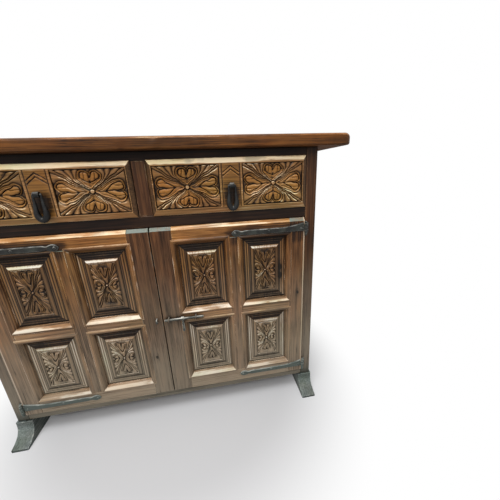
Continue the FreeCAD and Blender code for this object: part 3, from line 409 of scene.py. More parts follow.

# %% [markdown]
# ## Dust, a painted floor reflection and painted highlights on slopes
#
# Dust lies on what faces up, and on iron the same mask paints a highlight along the tops. A grey that
# grows towards the floor is painted in as the floor's reflection. Slopes that face up get a painted
# highlight: their stain is turned towards bare wood where the lamps would shine on them. All three follow
# from which way a surface looks and how high it stands, so they are worked out from the normal and the
# place and need no texture painting.

# %% Groups: dust, painted floor reflection and painted highlights
# the slope on which specks settle; on iron the same mask paints a highlight
UNDERSIDE, DUST_AND_HIGHLIGHT_SLOPE = (-0.40, -0.85), (0.38, 0.80)
SPECK_SCALE, SPECK_RANGE = 30.0, (0.35, 0.75)
# a painted grey reflection of the floor, growing towards it
FLOOR_REFLECTION_TOP, FLOOR_REFLECTION_FOOT = 0.62, 0.02
FLOOR_REFLECTION_SCALE, FLOOR_REFLECTION_WANDER = 6.0, 0.25
# painted highlight on slopes that face up: where it starts, how it fades, and its patches
SLOPE_HIGHLIGHT_START, SLOPE_HIGHLIGHT_STEEP, SLOPE_HIGHLIGHT_LEVEL = (0.08, 0.38), (0.60, 0.92, 1.0, 0.35), (0.99, 0.94)
SLOPE_HIGHLIGHT_STRETCH, SLOPE_HIGHLIGHT_SCALE, SLOPE_HIGHLIGHT_PATCHES, SLOPE_HIGHLIGHT_LEAST = (1.0, 3.0, 3.0), 8.0, (0.36, 0.60), 0.5


def facing_up(tree):
    """Which way a surface looks: 1 for straight up, 0 for a wall, -1 for an underside."""
    return component(tree, add(tree, "ShaderNodeNewGeometry").outputs["Normal"], "Z")


def make_dust():
    """Dust and a painted top highlight, a painted reflection of the floor, and undersides that get no wax.
    """
    inputs = {"Vector": ("Vector", ORIGIN), "Floor reflection top": ("Float", FLOOR_REFLECTION_TOP)}
    outputs = {"Dust and top highlight": "Float", "Floor reflection": "Float", "Underside": "Float"}
    group, given, result = new_group("Dust, top highlight and floor reflection", inputs, outputs)
    up = facing_up(group)
    feed(group, result["Underside"], ease(group, up, *UNDERSIDE))
    specks = ease(group, noise(group, given["Vector"], SPECK_SCALE, detail=5.0), *SPECK_RANGE)
    feed(group, result["Dust and top highlight"], calc(group, "MULTIPLY", ease(group, up, *DUST_AND_HIGHLIGHT_SLOPE), specks))
    drift = calc(group, "SUBTRACT", noise(group, given["Vector"], FLOOR_REFLECTION_SCALE), 0.5)
    level = calc(group, "MULTIPLY_ADD", drift, FLOOR_REFLECTION_WANDER, component(group, given["Vector"], "Z"))
    feed(group, result["Floor reflection"], ease(group, level, given["Floor reflection top"], FLOOR_REFLECTION_FOOT))
    return group


def make_bleached_tops():
    """Painted highlight: one on slopes that face up, less on steps that face up nearly level, none on level
    tops.
    """
    inputs = {"Vector": ("Vector", ORIGIN), "Least": ("Float", SLOPE_HIGHLIGHT_LEAST)}
    group, given, result = new_group("Painted highlights on slopes", inputs, {"Mask": "Float"})
    up = facing_up(group)
    steep = calc(group, "MULTIPLY", ease(group, up, *SLOPE_HIGHLIGHT_STEEP), ease(group, up, *SLOPE_HIGHLIGHT_LEVEL))
    slope = calc(group, "MULTIPLY", ease(group, up, *SLOPE_HIGHLIGHT_START), steep)
    drawn_out = noise(group, stretch(group, given["Vector"], SLOPE_HIGHLIGHT_STRETCH), SLOPE_HIGHLIGHT_SCALE, detail=5.0)
    patches = ease(group, drawn_out, *SLOPE_HIGHLIGHT_PATCHES, given["Least"], 1.0)
    feed(group, result["Mask"], calc(group, "MULTIPLY", slope, patches))
    return group


SLOPE_HIGHLIGHTS = make_bleached_tops()
DUST_AND_LIGHT = make_dust()
print("groups", [group.name for group in (SLOPE_HIGHLIGHTS, DUST_AND_LIGHT)])

# %% [markdown]
# ## Stained wood
#
# One builder makes every wood finish. It is given the way the grain runs and five stain colours, from the
# black of a cut to bare wood. Everything that happens to the stain is one number, its tone: the figure
# moves it a little, rubbed edges raise it, corners lower it as grime and painted shade, and slopes that
# face up raise it as a painted highlight. Carved pieces carry a number at each point of the mesh, its
# relief, which says how deep the gouge went, so the stain lies dark in the cuts and thin on the high
# places; the same number carries painted light and shade, low under upper edges and high on bevels and
# lips that face up. A second number, tint, is high on the hearts, where the wood has worn to gold.

# %% Tone of the stain
RING_SHARE, FIBRE_SHARE, BLOTCH_SHARE = 0.16, 0.52, 0.32
CARVED_FIGURE, CARVED_GRIME_AND_SHADE = 0.26, (0.30, 0.05)
PLAIN_FIGURE, PLAIN_TONE = 0.56, 0.22
RUBBED_RISE, GRIME_AND_SHADE_DROP, PORE_DROP = 0.34, 0.40, 0.16


def point_value(tree, label):
    """A number that the mesh carries at each point."""
    return add(tree, "ShaderNodeAttribute", {"attribute_name": label}).outputs["Fac"]


def wood_tone(tree, spot, figure, carved):
    """The stain's tone before wear, and a mask of grime and painted shade in corners and cuts."""
    pattern = calc(tree, "MULTIPLY", figure["Fibre"], FIBRE_SHARE)
    pattern = calc(tree, "MULTIPLY_ADD", figure["Rings"], RING_SHARE, pattern)
    pattern = calc(tree, "MULTIPLY_ADD", figure["Blotch"], BLOTCH_SHARE, pattern)
    if carved:
        # carving depth together with painted light and shade, carried by each point
        relief_and_painted_light = point_value(tree, "relief_and_painted_light")
        grime_and_shade = ease(tree, relief_and_painted_light, *CARVED_GRIME_AND_SHADE)
        varied = calc(tree, "MULTIPLY_ADD", pattern, CARVED_FIGURE, -CARVED_FIGURE / 2)
        tone = calc(tree, "ADD", relief_and_painted_light, varied)
    else:
        rubbed = place_group(tree, RUBBED_EDGES, Vector=spot)["Mask"]
        grime_and_shade = place_group(tree, GRIME_AND_SHADE, Vector=spot)["Mask"]
        plain = calc(tree, "MULTIPLY_ADD", pattern, PLAIN_FIGURE, PLAIN_TONE)
        raised = calc(tree, "MULTIPLY_ADD", rubbed, RUBBED_RISE, plain)
        # corners lowered as grime and painted shade
        tone = calc(tree, "MULTIPLY_ADD", grime_and_shade, -GRIME_AND_SHADE_DROP, raised)
    return calc(tree, "MULTIPLY_ADD", figure["Pores"], -PORE_DROP, tone), grime_and_shade


print("fibres make up", FIBRE_SHARE, "of the figure")

# %% Knots and painted strap shadows
KNOT_STRETCH, KNOT_SCALE, KNOT_WOBBLE = 0.6, 160.0, 0.004
KNOT_CORE, KNOT_DEPTH = 0.35, 0.60
KNOT_HALO, KNOT_HALO_DEPTH = 3.0, 0.10
# a painted shadow under the upper straps, on the wood below them
STRAP_SHADOW_LEVEL, STRAP_SHADOW_HALF = 0.6115, (0.036, 0.018)
STRAP_SHADOW_START, STRAP_SHADOW_FADE = 0.215, 0.012
STRAP_SHADOW_SCALE, STRAP_SHADOW_WANDER = 12.0, 0.030


def knotted(tree, spot, tone, knots):
    """A tone that drops at a few knots; each is (X, Z, radius) in millimetres, drawn out along Z."""
    wobble = calc(tree, "MULTIPLY_ADD", noise(tree, spot, KNOT_SCALE), KNOT_WOBBLE, -KNOT_WOBBLE / 2)
    for x, z, radius in knots:
        flat = stretch(tree, spot, (1.0, 0.0, KNOT_STRETCH))
        middle = (x * MM, 0.0, z * KNOT_STRETCH * MM)
        reach = calc(tree, "ADD", vector_calc(tree, "DISTANCE", flat, middle)["Value"], wobble)
        core = ease(tree, reach, radius * MM, KNOT_CORE * radius * MM)
        halo = ease(tree, reach, KNOT_HALO * radius * MM, radius * MM, 0.0, KNOT_HALO_DEPTH)
        tone = calc(tree, "MULTIPLY_ADD", core, -KNOT_DEPTH, calc(tree, "SUBTRACT", tone, halo))
    return tone


def iron_mark(tree, spot):
    """Painted shadow under the upper straps: one in the middle of the shadow."""
    wander = calc(
        tree, "MULTIPLY_ADD", noise(tree, spot, STRAP_SHADOW_SCALE), STRAP_SHADOW_WANDER, -STRAP_SHADOW_WANDER / 2
    )
    beside = calc(tree, "ABSOLUTE", calc(tree, "SUBTRACT", component(tree, spot, "Z"), STRAP_SHADOW_LEVEL))
    near = ease(tree, calc(tree, "ADD", beside, wander), *STRAP_SHADOW_HALF)
    out = calc(tree, "ADD", calc(tree, "ABSOLUTE", component(tree, spot, "X")), wander)
    begun = ease(tree, out, STRAP_SHADOW_START - STRAP_SHADOW_FADE, STRAP_SHADOW_START + STRAP_SHADOW_FADE)
    return calc(tree, "MULTIPLY", near, begun)


# middle height of the painted strap shadow
print("iron marks lie", round(STRAP_SHADOW_LEVEL / MM, 1), "mm up")

# %% Colour of the stain
# the darkest stop of every stain, reached in deep cuts and painted shade; and the pale grey of specks and
# of the painted floor reflection
CUT_AND_SHADE_BLACK, DUST_AND_REFLECTION_COLOUR = colour(16, 11, 8), colour(146, 139, 122)
CORE_COLOUR, CORE_TONES, CORE_SHARE = colour(162, 112, 52), (0.22, 0.56), 0.60
GREYED_COLOUR, GREYED_SCALE, GREYED_RANGE = colour(116, 122, 110), 13.0, (0.54, 0.62)
HINGE_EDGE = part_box("right_door_hinge_stile")[1].x
# a pale line down the door's hinge edge: handling wear and a painted highlight
WORN_AND_LIT_EDGE_COLOUR, WORN_AND_LIT_EDGE_BAND = colour(206, 184, 162), (HINGE_EDGE - 5.2 * MM, HINGE_EDGE - 3.2 * MM)
STAIN_STOPS = (0.0, 0.26, 0.50, 0.76, 1.0)
WASHES = {
    "red": {
        "hue": (1.0, 0.78, 0.58, 1.0), "drawn": (1.0, 1.0, 1.0), "scale": 9.0,
        "limits": (0.42, 0.70, 0.0, 0.50),
    },
    "green": {
        "hue": (0.84, 0.96, 0.78, 1.0), "drawn": (1.0, 2.0, 2.0), "scale": 6.0,
        "limits": (0.46, 0.68, 0.0, 0.60),
    },
}


def stain_ramp(tree, tone, colours):
    """The stain's colour for a tone from 0, a deep cut, to 1, bare wood."""
    node = add(tree, "ShaderNodeValToRGB", Fac=tone)
    stops = node.color_ramp.elements
    while len(stops) < len(STAIN_STOPS):
        stops.new(0.5)
    for stop, place, shade in zip(stops, STAIN_STOPS, colours):
        stop.position = place
        stop.color = shade
    return node.outputs["Color"]


def worn_stain(tree, spot, along, tone, slope_highlighted, colours, look):
    """The stain with golden hearts, a pale hinge edge, worn and painted as a highlight, grey patches on the
    painted highlights and slow red and green washes.
    """
    shade = stain_ramp(tree, tone, colours)
    if look["carved"]:
        bright = ease(tree, tone, *CORE_TONES, 0.0, CORE_SHARE)
        golden = calc(tree, "MULTIPLY", point_value(tree, "tint"), bright)
        shade = blend(tree, golden, shade, CORE_COLOUR)
    if look["worn_and_lit_edge"]:
        out = calc(tree, "ABSOLUTE", component(tree, spot, "X"))
        shade = blend(tree, ease(tree, out, *WORN_AND_LIT_EDGE_BAND, 0.0, look["worn_and_lit_edge"]), shade, WORN_AND_LIT_EDGE_COLOUR)
    patches = ease(tree, noise(tree, spot, GREYED_SCALE), *GREYED_RANGE, 0.0, look["greyed"])
    shade = blend(tree, calc(tree, "MULTIPLY", slope_highlighted, patches), shade, GREYED_COLOUR)
    for wash in WASHES.values():
        cloud = noise(tree, stretch(tree, along, wash["drawn"]), wash["scale"])
        shade = blend(tree, ease(tree, cloud, *wash["limits"]), shade, wash["hue"], mode="MULTIPLY")
    return shade


print(len(STAIN_STOPS), "stops in a stain, washed with", " and ".join(WASHES))

# %% Dust, painted floor reflection and darker post feet on the stain
SETTLED_SHARE = 0.16
CLEAR_TONES, CLEAR_LEAST = (0.10, 0.60), 0.25
# posts turn darker towards the floor
LOW_POST_COLOUR, LOW_POST_TOP, LOW_POST_CORE = colour(50, 58, 54), 0.13, 0.078
LOW_POST_SCALE, LOW_POST_WANDER = 20.0, 0.06


def dusty(tree, spot, shade, tone, grime_and_shade, dust_and_light, look):
    """The colour under the painted floor reflection and the specks on top, and darker at the foot of a
    post.
    """
    clear = calc(tree, "SUBTRACT", 1.0, grime_and_shade)
    clear = calc(tree, "MULTIPLY", clear, ease(tree, tone, *CLEAR_TONES, CLEAR_LEAST, 1.0))
    # painted reflection of the floor: a grey that grows towards it, on the lighter tones
    grey = calc(tree, "MULTIPLY", calc(tree, "MULTIPLY", dust_and_light["Floor reflection"], look["floor_reflection"]), clear)
    grey = calc(tree, "MAXIMUM", grey, calc(tree, "MULTIPLY", dust_and_light["Dust and top highlight"], SETTLED_SHARE))
    shade = blend(tree, grey, shade, DUST_AND_REFLECTION_COLOUR)
    # darker towards the floor at the foot of a post
    if look["low_post_darkening"]:
        height = calc(tree, "SUBTRACT", component(tree, spot, "Z"), LOW_POST_WANDER / 2)
        lowness = calc(tree, "MULTIPLY_ADD", noise(tree, spot, LOW_POST_SCALE), LOW_POST_WANDER, height)
        shade = blend(tree, ease(tree, lowness, LOW_POST_TOP, LOW_POST_CORE, 0.0, look["low_post_darkening"]), shade, LOW_POST_COLOUR)
    return shade


# height up to which the posts darken
print("damp climbs to", round(LOW_POST_TOP / MM), "mm")

# %% Wood finish
GRAIN_TURN = {
    "X": (0.0, 0.0, 0.0),
    "Y": (0.0, 0.0, math.radians(-90)),
    "Z": (0.0, math.radians(90), 0.0),
}
WOOD_ROUGHNESS, FIBRE_MATT, GRIME_MATT, UNDER_MATT = 0.36, 0.12, 0.25, 0.35
WAX_ROUGHNESS, SHINE = 0.16, 0.10
PLANE_STRETCH, PLANE_SCALE, PLANE_WAVE = (1.0, 3.0, 3.0), 16.0, 1.6
PORE_CUT, FIBRE_BUMP = 0.8, 0.35
BUMP_STRENGTH, BUMP_DISTANCE = 0.35, 0.0009
# a look sets, per finish, the painted highlight on slopes that face up and the painted floor reflection
PLAIN_LOOK = {
    "carved": False, "slope_highlight": 0.54, "slope_highlight_least": 0.30, "wax": 0.12, "floor_reflection": 0.62, "knots": (),
    "strap_shadow": 0.0, "low_post_darkening": 0.0, "worn_and_lit_edge": 0.0, "greyed": 0.0,
}


def planed_surface(tree, along, figure):
    """The lie of the surface: fibres and pores on the slow waves that a hand plane leaves."""
    pores = calc(tree, "MULTIPLY", figure["Pores"], PORE_CUT)
    fibres = calc(tree, "MULTIPLY", calc(tree, "SUBTRACT", figure["Fibre"], pores), FIBRE_BUMP)
    waves = noise(tree, stretch(tree, along, PLANE_STRETCH), PLANE_SCALE, detail=2.0)
    height = calc(tree, "MULTIPLY_ADD", waves, PLANE_WAVE, fibres)
    bump = add(tree, "ShaderNodeBump", Strength=BUMP_STRENGTH, Distance=BUMP_DISTANCE, Height=height)
    return bump.outputs["Normal"]


def wood(name, grain, colours, seed, **changes):
    """A stained and waxed wood finish; changes say where it differs from the plain look."""
    look = {**PLAIN_LOOK, **changes}
    material = bpy.data.materials.new(name)
    tree = cleared_tree(material)
    spot = add(tree, "ShaderNodeTexCoord").outputs["Object"]
    along = add(tree, "ShaderNodeMapping", Vector=spot, Rotation=GRAIN_TURN[grain]).outputs["Vector"]
    figure = place_group(tree, WOOD_FIGURE, Vector=along, Seed=seed)
    dust_and_light = place_group(tree, DUST_AND_LIGHT, Vector=spot)
    slope_highlighted = place_group(tree, SLOPE_HIGHLIGHTS, Vector=spot, Least=look["slope_highlight_least"])["Mask"]
    tone, grime_and_shade = wood_tone(tree, spot, figure, look["carved"])
    # painted highlight: slopes that face up are turned towards bare wood
    tone = calc(tree, "MULTIPLY_ADD", slope_highlighted, look["slope_highlight"], knotted(tree, spot, tone, look["knots"]))
    # painted shadow under the upper straps
    if look["strap_shadow"]:
        tone = calc(tree, "MULTIPLY_ADD", iron_mark(tree, spot), -look["strap_shadow"], tone)
    shade = worn_stain(tree, spot, along, tone, slope_highlighted, colours, look)
    shade = dusty(tree, spot, shade, tone, grime_and_shade, dust_and_light, look)
    matt = calc(tree, "MULTIPLY_ADD", figure["Fibre"], FIBRE_MATT, WOOD_ROUGHNESS)
    matt = calc(tree, "MULTIPLY_ADD", grime_and_shade, GRIME_MATT, matt)
    matt = calc(tree, "MULTIPLY_ADD", dust_and_light["Underside"], UNDER_MATT, matt)
    waxed = calc(tree, "MULTIPLY", calc(tree, "SUBTRACT", 1.0, dust_and_light["Underside"]), look["wax"])
    shader = add(
        tree, "ShaderNodeBsdfPrincipled", Base_Color=shade, Roughness=matt,
        Normal=planed_surface(tree, along, figure), Coat_Weight=waxed, Coat_Roughness=WAX_ROUGHNESS,
        Specular_IOR_Level=SHINE,
    )
    add(tree, "ShaderNodeOutputMaterial", Surface=shader.outputs[0])
    return material


print("the plain look:", PLAIN_LOOK)

# %% Wood kinds
def stain(*shades):
    """The stops of a stain, from the black of a cut to bare wood."""
    return (CUT_AND_SHADE_BLACK, *(colour(*shade) for shade in shades))


STAINS = {
    # a darker copy of the carcase wood for the rails under the slab, drawers and doors: dark wood and
    # painted shade
    "dark": stain((14, 8, 5), (32, 20, 14), (52, 35, 24), (100, 72, 48)),
    "post": stain((34, 19, 10), (64, 40, 24), (94, 62, 39), (168, 142, 112)),
    "slab": stain((40, 22, 8), (86, 52, 22), (124, 77, 34), (172, 138, 106)),
    "door": stain((46, 28, 14), (99, 66, 38), (144, 98, 58), (116, 126, 118)),
    "lock": stain((40, 25, 14), (80, 53, 33), (114, 77, 48), (110, 122, 116)),
    "rail": stain((66, 41, 20), (130, 88, 48), (178, 125, 72), (238, 218, 184)),
    "moulding": stain((48, 30, 16), (105, 71, 40), (158, 112, 66), (242, 228, 208)),
    # the moulding finish for the top strips, darker and with little painted highlight: painted shade
    "head": stain((46, 29, 16), (100, 69, 41), (142, 102, 62), (194, 166, 130)),
    "carved": stain((46, 31, 18), (90, 65, 41), (150, 110, 68), (255, 234, 196)),
    "tablet": stain((36, 24, 15), (82, 58, 36), (136, 98, 58), (226, 218, 204)),
    "inner": stain((84, 62, 42), (122, 94, 66), (150, 118, 86), (170, 140, 106)),
    "foot": stain((40, 49, 49), (82, 94, 94), (112, 124, 126), (200, 206, 200)),
}
TABLET_KNOTS = ((375.0, 500.0, 8.0), (375.0, 470.0, 9.0))
DOOR_KNOTS = ((431.2, 408.3, 4.6), (-424.0, 505.0, 5.0))
LOCK_KNOTS = ((-36.0, 236.0, 5.0),)
FINISH_CHANGES = {
    "dark": {"wax": 0.06},
    "slab": {"slope_highlight": 0.40, "slope_highlight_least": 0.10},
    "moulding": {"slope_highlight": 0.86, "greyed": 0.30},
    "post": {"slope_highlight": 0.20, "low_post_darkening": 0.70},
    "rail": {"slope_highlight": 0.66, "slope_highlight_least": 0.40, "strap_shadow": 0.30, "floor_reflection": 0.84, "greyed": 0.45},
    "carved": {"carved": True, "slope_highlight": 0.42, "slope_highlight_least": 0.10, "greyed": 0.50},
    "tablet": {"carved": True, "slope_highlight": 0.34, "floor_reflection": 0.78, "knots": TABLET_KNOTS},
    "head": {"slope_highlight": 0.10, "strap_shadow": 0.30},
    "door": {"slope_highlight": 0.80, "slope_highlight_least": 0.90, "strap_shadow": 0.16, "worn_and_lit_edge": 0.75, "knots": DOOR_KNOTS},
    "lock": {"slope_highlight": 0.80, "slope_highlight_least": 0.90, "knots": LOCK_KNOTS},
    "foot": {"slope_highlight": 0.14, "wax": 0.08, "floor_reflection": 0.16},
    "inner": {"slope_highlight": 0.0, "wax": 0.0},
}
WOOD_KINDS = (
    "dark_X", "post_Z", "slab_X", "door_Z", "lock_Z", "rail_X", "moulding_X", "moulding_Z", "head_X",
    "carved_X", "tablet_Z", "inner_X", "inner_Y", "inner_Z", "post_Y", "foot_Y",
)
woods = {}
for seed, kind in enumerate(WOOD_KINDS):
    shade, grain = kind.split("_")
    changes = FINISH_CHANGES.get(shade, {})
    woods[kind] = wood(f"{kind.lower()}_wood", grain, STAINS[shade], float(seed), **changes)
print(len(woods), "wood finishes")

# %% [markdown]
# ## Forged iron
#
# The hinges, pulls and latch are forged: a dark skin full of small dents, rubbed to bare metal along the
# edges, with rust in patches, a pale highlight painted along the tops and a greenish reflection of the
# floor painted lower down. The dents could be modelled one by one, but they are too small to change the
# outline, so a bump of round cells and fine noise is enough.

# %% Iron finish
# bare metal, also the colour of the painted highlight on iron's tops; a greenish painted reflection of the
# floor
IRON_RUST, IRON_BARE_AND_HIGHLIGHT, IRON_FLOOR_REFLECTION = colour(50, 37, 27), colour(206, 204, 194), colour(112, 124, 116)
IRON_DENT_SCALE, IRON_DENT_STRENGTH, IRON_DENT_DISTANCE = 150.0, 0.5, 0.0012
IRON_GRAIN_SCALE, IRON_GRAIN_HEIGHT = 420.0, 0.25
IRON_ROUGHNESS, IRON_GRAIN_MATT = 0.36, 0.25
IRON_PATCH_SCALE, IRON_PATCH_RANGE = 45.0, (0.35, 0.68)
RUST_SCALE, RUST_RANGE = 70.0, (0.56, 0.74, 0.0, 0.55)
IRON_EDGE_RADIUS, IRON_EDGE_PATCHINESS = 0.0016, 60.0
IRON_KINDS = {
    "black_iron": {
        "skin": (15, 16, 14), "pale": (44, 47, 42),
        "floor_reflection": 0.40, "worn": 0.34, "top_highlight": 0.55, "gleam": 0.30,
    },
    "pull_iron": {
        "skin": (9, 9, 9), "pale": (30, 31, 30),
        "floor_reflection": 0.0, "worn": 0.16, "top_highlight": 0.40, "gleam": 0.22,
    },
    "rust_iron": {
        "skin": (60, 48, 38), "pale": (96, 84, 70),
        "floor_reflection": 0.10, "worn": 0.30, "top_highlight": 0.35, "gleam": 0.30,
    },
    "grey_iron": {
        "skin": (40, 42, 38), "pale": (96, 96, 88),
        "floor_reflection": 0.10, "worn": 0.80, "top_highlight": 1.0, "gleam": 0.30,
    },
}


def iron(name, skin, pale, floor_reflection, worn, top_highlight, gleam):
    """A forged iron finish."""
    material = bpy.data.materials.new(name)
    tree = cleared_tree(material)
    spot = add(tree, "ShaderNodeTexCoord").outputs["Object"]
    cells = add(tree, "ShaderNodeTexVoronoi", {"feature": "SMOOTH_F1"}, Vector=spot, Scale=IRON_DENT_SCALE)
    grain = noise(tree, spot, IRON_GRAIN_SCALE)
    patches = ease(tree, noise(tree, spot, IRON_PATCH_SCALE, detail=4.0), *IRON_PATCH_RANGE)
    rusty = ease(tree, noise(tree, spot, RUST_SCALE, detail=5.0), *RUST_RANGE)
    edges = place_group(
        tree, RUBBED_EDGES, Vector=spot, Radius=IRON_EDGE_RADIUS, Patchiness=IRON_EDGE_PATCHINESS
    )["Mask"]
    rubbed = calc(tree, "MULTIPLY", edges, worn)
    dust_and_light = place_group(tree, DUST_AND_LIGHT, Vector=spot)
    shade = blend(tree, patches, colour(*skin), colour(*pale))
    shade = blend(tree, rusty, shade, IRON_RUST)
    shade = blend(tree, rubbed, shade, IRON_BARE_AND_HIGHLIGHT)
    # painted reflection of the floor, greenish lower down
    shade = blend(tree, calc(tree, "MULTIPLY", dust_and_light["Floor reflection"], floor_reflection), shade, IRON_FLOOR_REFLECTION)
    # painted highlight on what faces up, pale as bare metal
    shade = blend(tree, calc(tree, "MULTIPLY", dust_and_light["Dust and top highlight"], top_highlight), shade, IRON_BARE_AND_HIGHLIGHT)
    matt = calc(tree, "MULTIPLY_ADD", grain, IRON_GRAIN_MATT, IRON_ROUGHNESS)
    height = calc(tree, "MULTIPLY_ADD", grain, IRON_GRAIN_HEIGHT, cells.outputs["Distance"])
    bump = add(
        tree, "ShaderNodeBump", Strength=IRON_DENT_STRENGTH, Distance=IRON_DENT_DISTANCE, Height=height
    )
    shader = add(
        tree, "ShaderNodeBsdfPrincipled", Base_Color=shade, Metallic=rubbed, Roughness=matt,
        Normal=bump.outputs["Normal"], Specular_IOR_Level=gleam,
    )
    add(tree, "ShaderNodeOutputMaterial", Surface=shader.outputs[0])
    return material


irons = {name: iron(name, **kind) for name, kind in IRON_KINDS.items()}
print("iron finishes:", ", ".join(irons))

# %% [markdown]
# ## Finishes on the plain boards
#
# Most boards are right as the frame gives them: straight, square and in place. They only want their
# finish and slightly worn edges. A Weld and a Bevel modifier soften the edges on top of the solid, which
# itself stays as it is. The small iron pieces are dressed the same way.

# %% Dress the frame's own nodes
EDGE_WEAR_WIDTH, IRON_EDGE_WIDTH = 1.6 * MM, 0.6 * MM
EDGE_SEGMENTS, EDGE_ANGLE = 2, math.radians(28)
WELD_DISTANCE = 0.01 * MM
BOARD_FINISHES = {
    "rear_posts": "post_Z", "drawer_divider": "post_Z",
    "frieze_rail": "dark_X", "waist_rail": "dark_X", "bottom_rail": "dark_X",
    "back_boards": "inner_Z", "rear_top_rail": "inner_X", "cabinet_floor": "inner_X",
    "drawer_deck": "inner_X", "drawer_guide": "inner_Y", "shelf": "inner_X", "shelf_cleats": "inner_Y",
}
SIDE_FINISHES = {
    "front_post_{}": "post_Z", "side_rails_{}": "post_Y", "side_panels_{}": "post_Z", "foot_{}": "foot_Y",
    "{}_drawer_sides": "inner_Y", "{}_drawer_back": "inner_X", "{}_drawer_bottom": "inner_Y",
    "{}_door_hinge_stile": "door_Z", "{}_door_lock_stile": "lock_Z", "{}_door_muntin": "door_Z",
    "{}_door_top_rail": "rail_X", "{}_door_mid_rails": "rail_X", "{}_door_bottom_rail": "rail_X",
}
IRON_FINISHES = {
    "hinge_leaves": "black_iron", "hinge_pins": "black_iron", "leaf_nails": "black_iron",
    "latch_bolt": "grey_iron", "latch_staples": "rust_iron", "latch_drop": "grey_iron",
    "latch_keeper": "grey_iron",
}
SIDE_IRONS = {"{}_pull_post": "pull_iron", "{}_door_strap_nails": "black_iron"}


def dress(node, material, edge_width):
    """Give a node its finish and worn edges."""
    piece = frame["nodes"][node]
    piece.data.materials.clear()
    piece.data.materials.append(material)
    weld = piece.modifiers.new("weld", "WELD")
    weld.merge_threshold = WELD_DISTANCE
    bevel = piece.modifiers.new("worn_edges", "BEVEL")
    bevel.width = edge_width
    bevel.segments = EDGE_SEGMENTS
    bevel.limit_method = "ANGLE"
    bevel.angle_limit = EDGE_ANGLE


for side in SIDES:
    BOARD_FINISHES.update({node.format(side): finish for node, finish in SIDE_FINISHES.items()})
    IRON_FINISHES.update({node.format(side): finish for node, finish in SIDE_IRONS.items()})
for node, finish in BOARD_FINISHES.items():
    dress(node, woods[finish], EDGE_WEAR_WIDTH)
for node, finish in IRON_FINISHES.items():
    dress(node, irons[finish], IRON_EDGE_WIDTH)
print(len(BOARD_FINISHES), "boards and", len(IRON_FINISHES), "iron pieces dressed")

# %% [markdown]
# ## Cutting a relief
#
# A carver draws a leaf, cuts round it and rounds it over. The same can be said in numbers: a drop shape
# that is narrow at one end and round at the other, the distance of every point from its outline, and a
# height that rises from that distance. A heart is two drops that share their tip. A rosette is four
# hearts round a button, and round each heart lie long leaves that follow its sides out to the corners. It
# stretches with its field, so the same motif fits the wide drawer and the tall tablet.

# %% Steps, crests and drops
DROP_BULGE = 0.66


def rise(value, low, high):
    """A soft step from 0 to 1 between two limits."""
    share = np.clip((value - low) / (high - low), 0, 1)
    return share * share * (3 - 2 * share)


def crest(value, width):
    """One at zero, falling away on both sides."""
    return np.exp(-((value / width) ** 2))


def drop(along, across, start, end, start_fat, end_fat):
    """How far points lie outside a drop that runs from one place to another."""
    run = np.subtract(end, start)
    share = ((along - start[0]) * run[0] + (across - start[1]) * run[1]) / (run @ run)
    share = np.clip(share, 0, 1)
    reach = np.hypot(along - start[0] - share * run[0], across - start[1] - share * run[1])
    return reach - (start_fat + share ** DROP_BULGE * (end_fat - start_fat))


print("a step is", rise(0.5, 0, 1), "half way up and a crest", crest(0.0, 1.0), "at its top")

# %% Hearts, in millimetres and as shares of the carving's height
CUT_WIDTH, CUT_DEPTH = 1.15, 0.70
TIP_FAT = 0.4
MELT_AT_TIP, MELT_LOSS, MELT_END = 0.55, 0.50, 0.3
CORE_TIP, CORE_FAT, CORE_SPREAD, CORE_SHIFT = 0.34, 0.64, 0.90, 0.06
BODY_HEIGHT, BODY_SLOPE, CROWN_HEIGHT, CROWN_SHARE = 0.56, 2.0, 0.12, 0.5
RIM_HEIGHT, RIM_PLACE, RIM_WIDTH = 0.28, 1.8, 1.0
TRENCH_DEPTH, TRENCH_PLACE, TRENCH_WIDTH = 0.18, 4.8, 0.9
DOME_HEIGHT, DOME_START, DOME_SHARE = 0.18, 0.3, 0.7
NOTCH_DEPTH, NOTCH_PLACE, NOTCH_DRAWN, NOTCH_WIDTH = 0.50, 0.35, 0.35, 1.7
GOUGE_DEPTH, GOUGE_DRAWN, GOUGE_WIDTH = 0.55, 0.5, 1.5
VEIN_DEPTH, VEIN_PLACE, VEIN_START, VEIN_WIDTH = 0.40, 0.95, (1.2, 2.6), 1.0
HEART_LIMIT = 1.1


def heart_outline(along, across, tip, far, spread, fat):
    """How far points lie outside a heart; the two drops run together at the tip and part at the notch."""
    one, other = (
        drop(along, across, (tip, 0.0), (far, hand * spread), TIP_FAT, fat) for hand in HANDS.values()
    )
    melt = fat * (MELT_AT_TIP - MELT_LOSS * rise(along, tip, far + MELT_END * fat))
    share = np.clip(0.5 + 0.5 * (other - one) / melt, 0, 1)
    return other + (one - other) * share - melt * share * (1 - share)


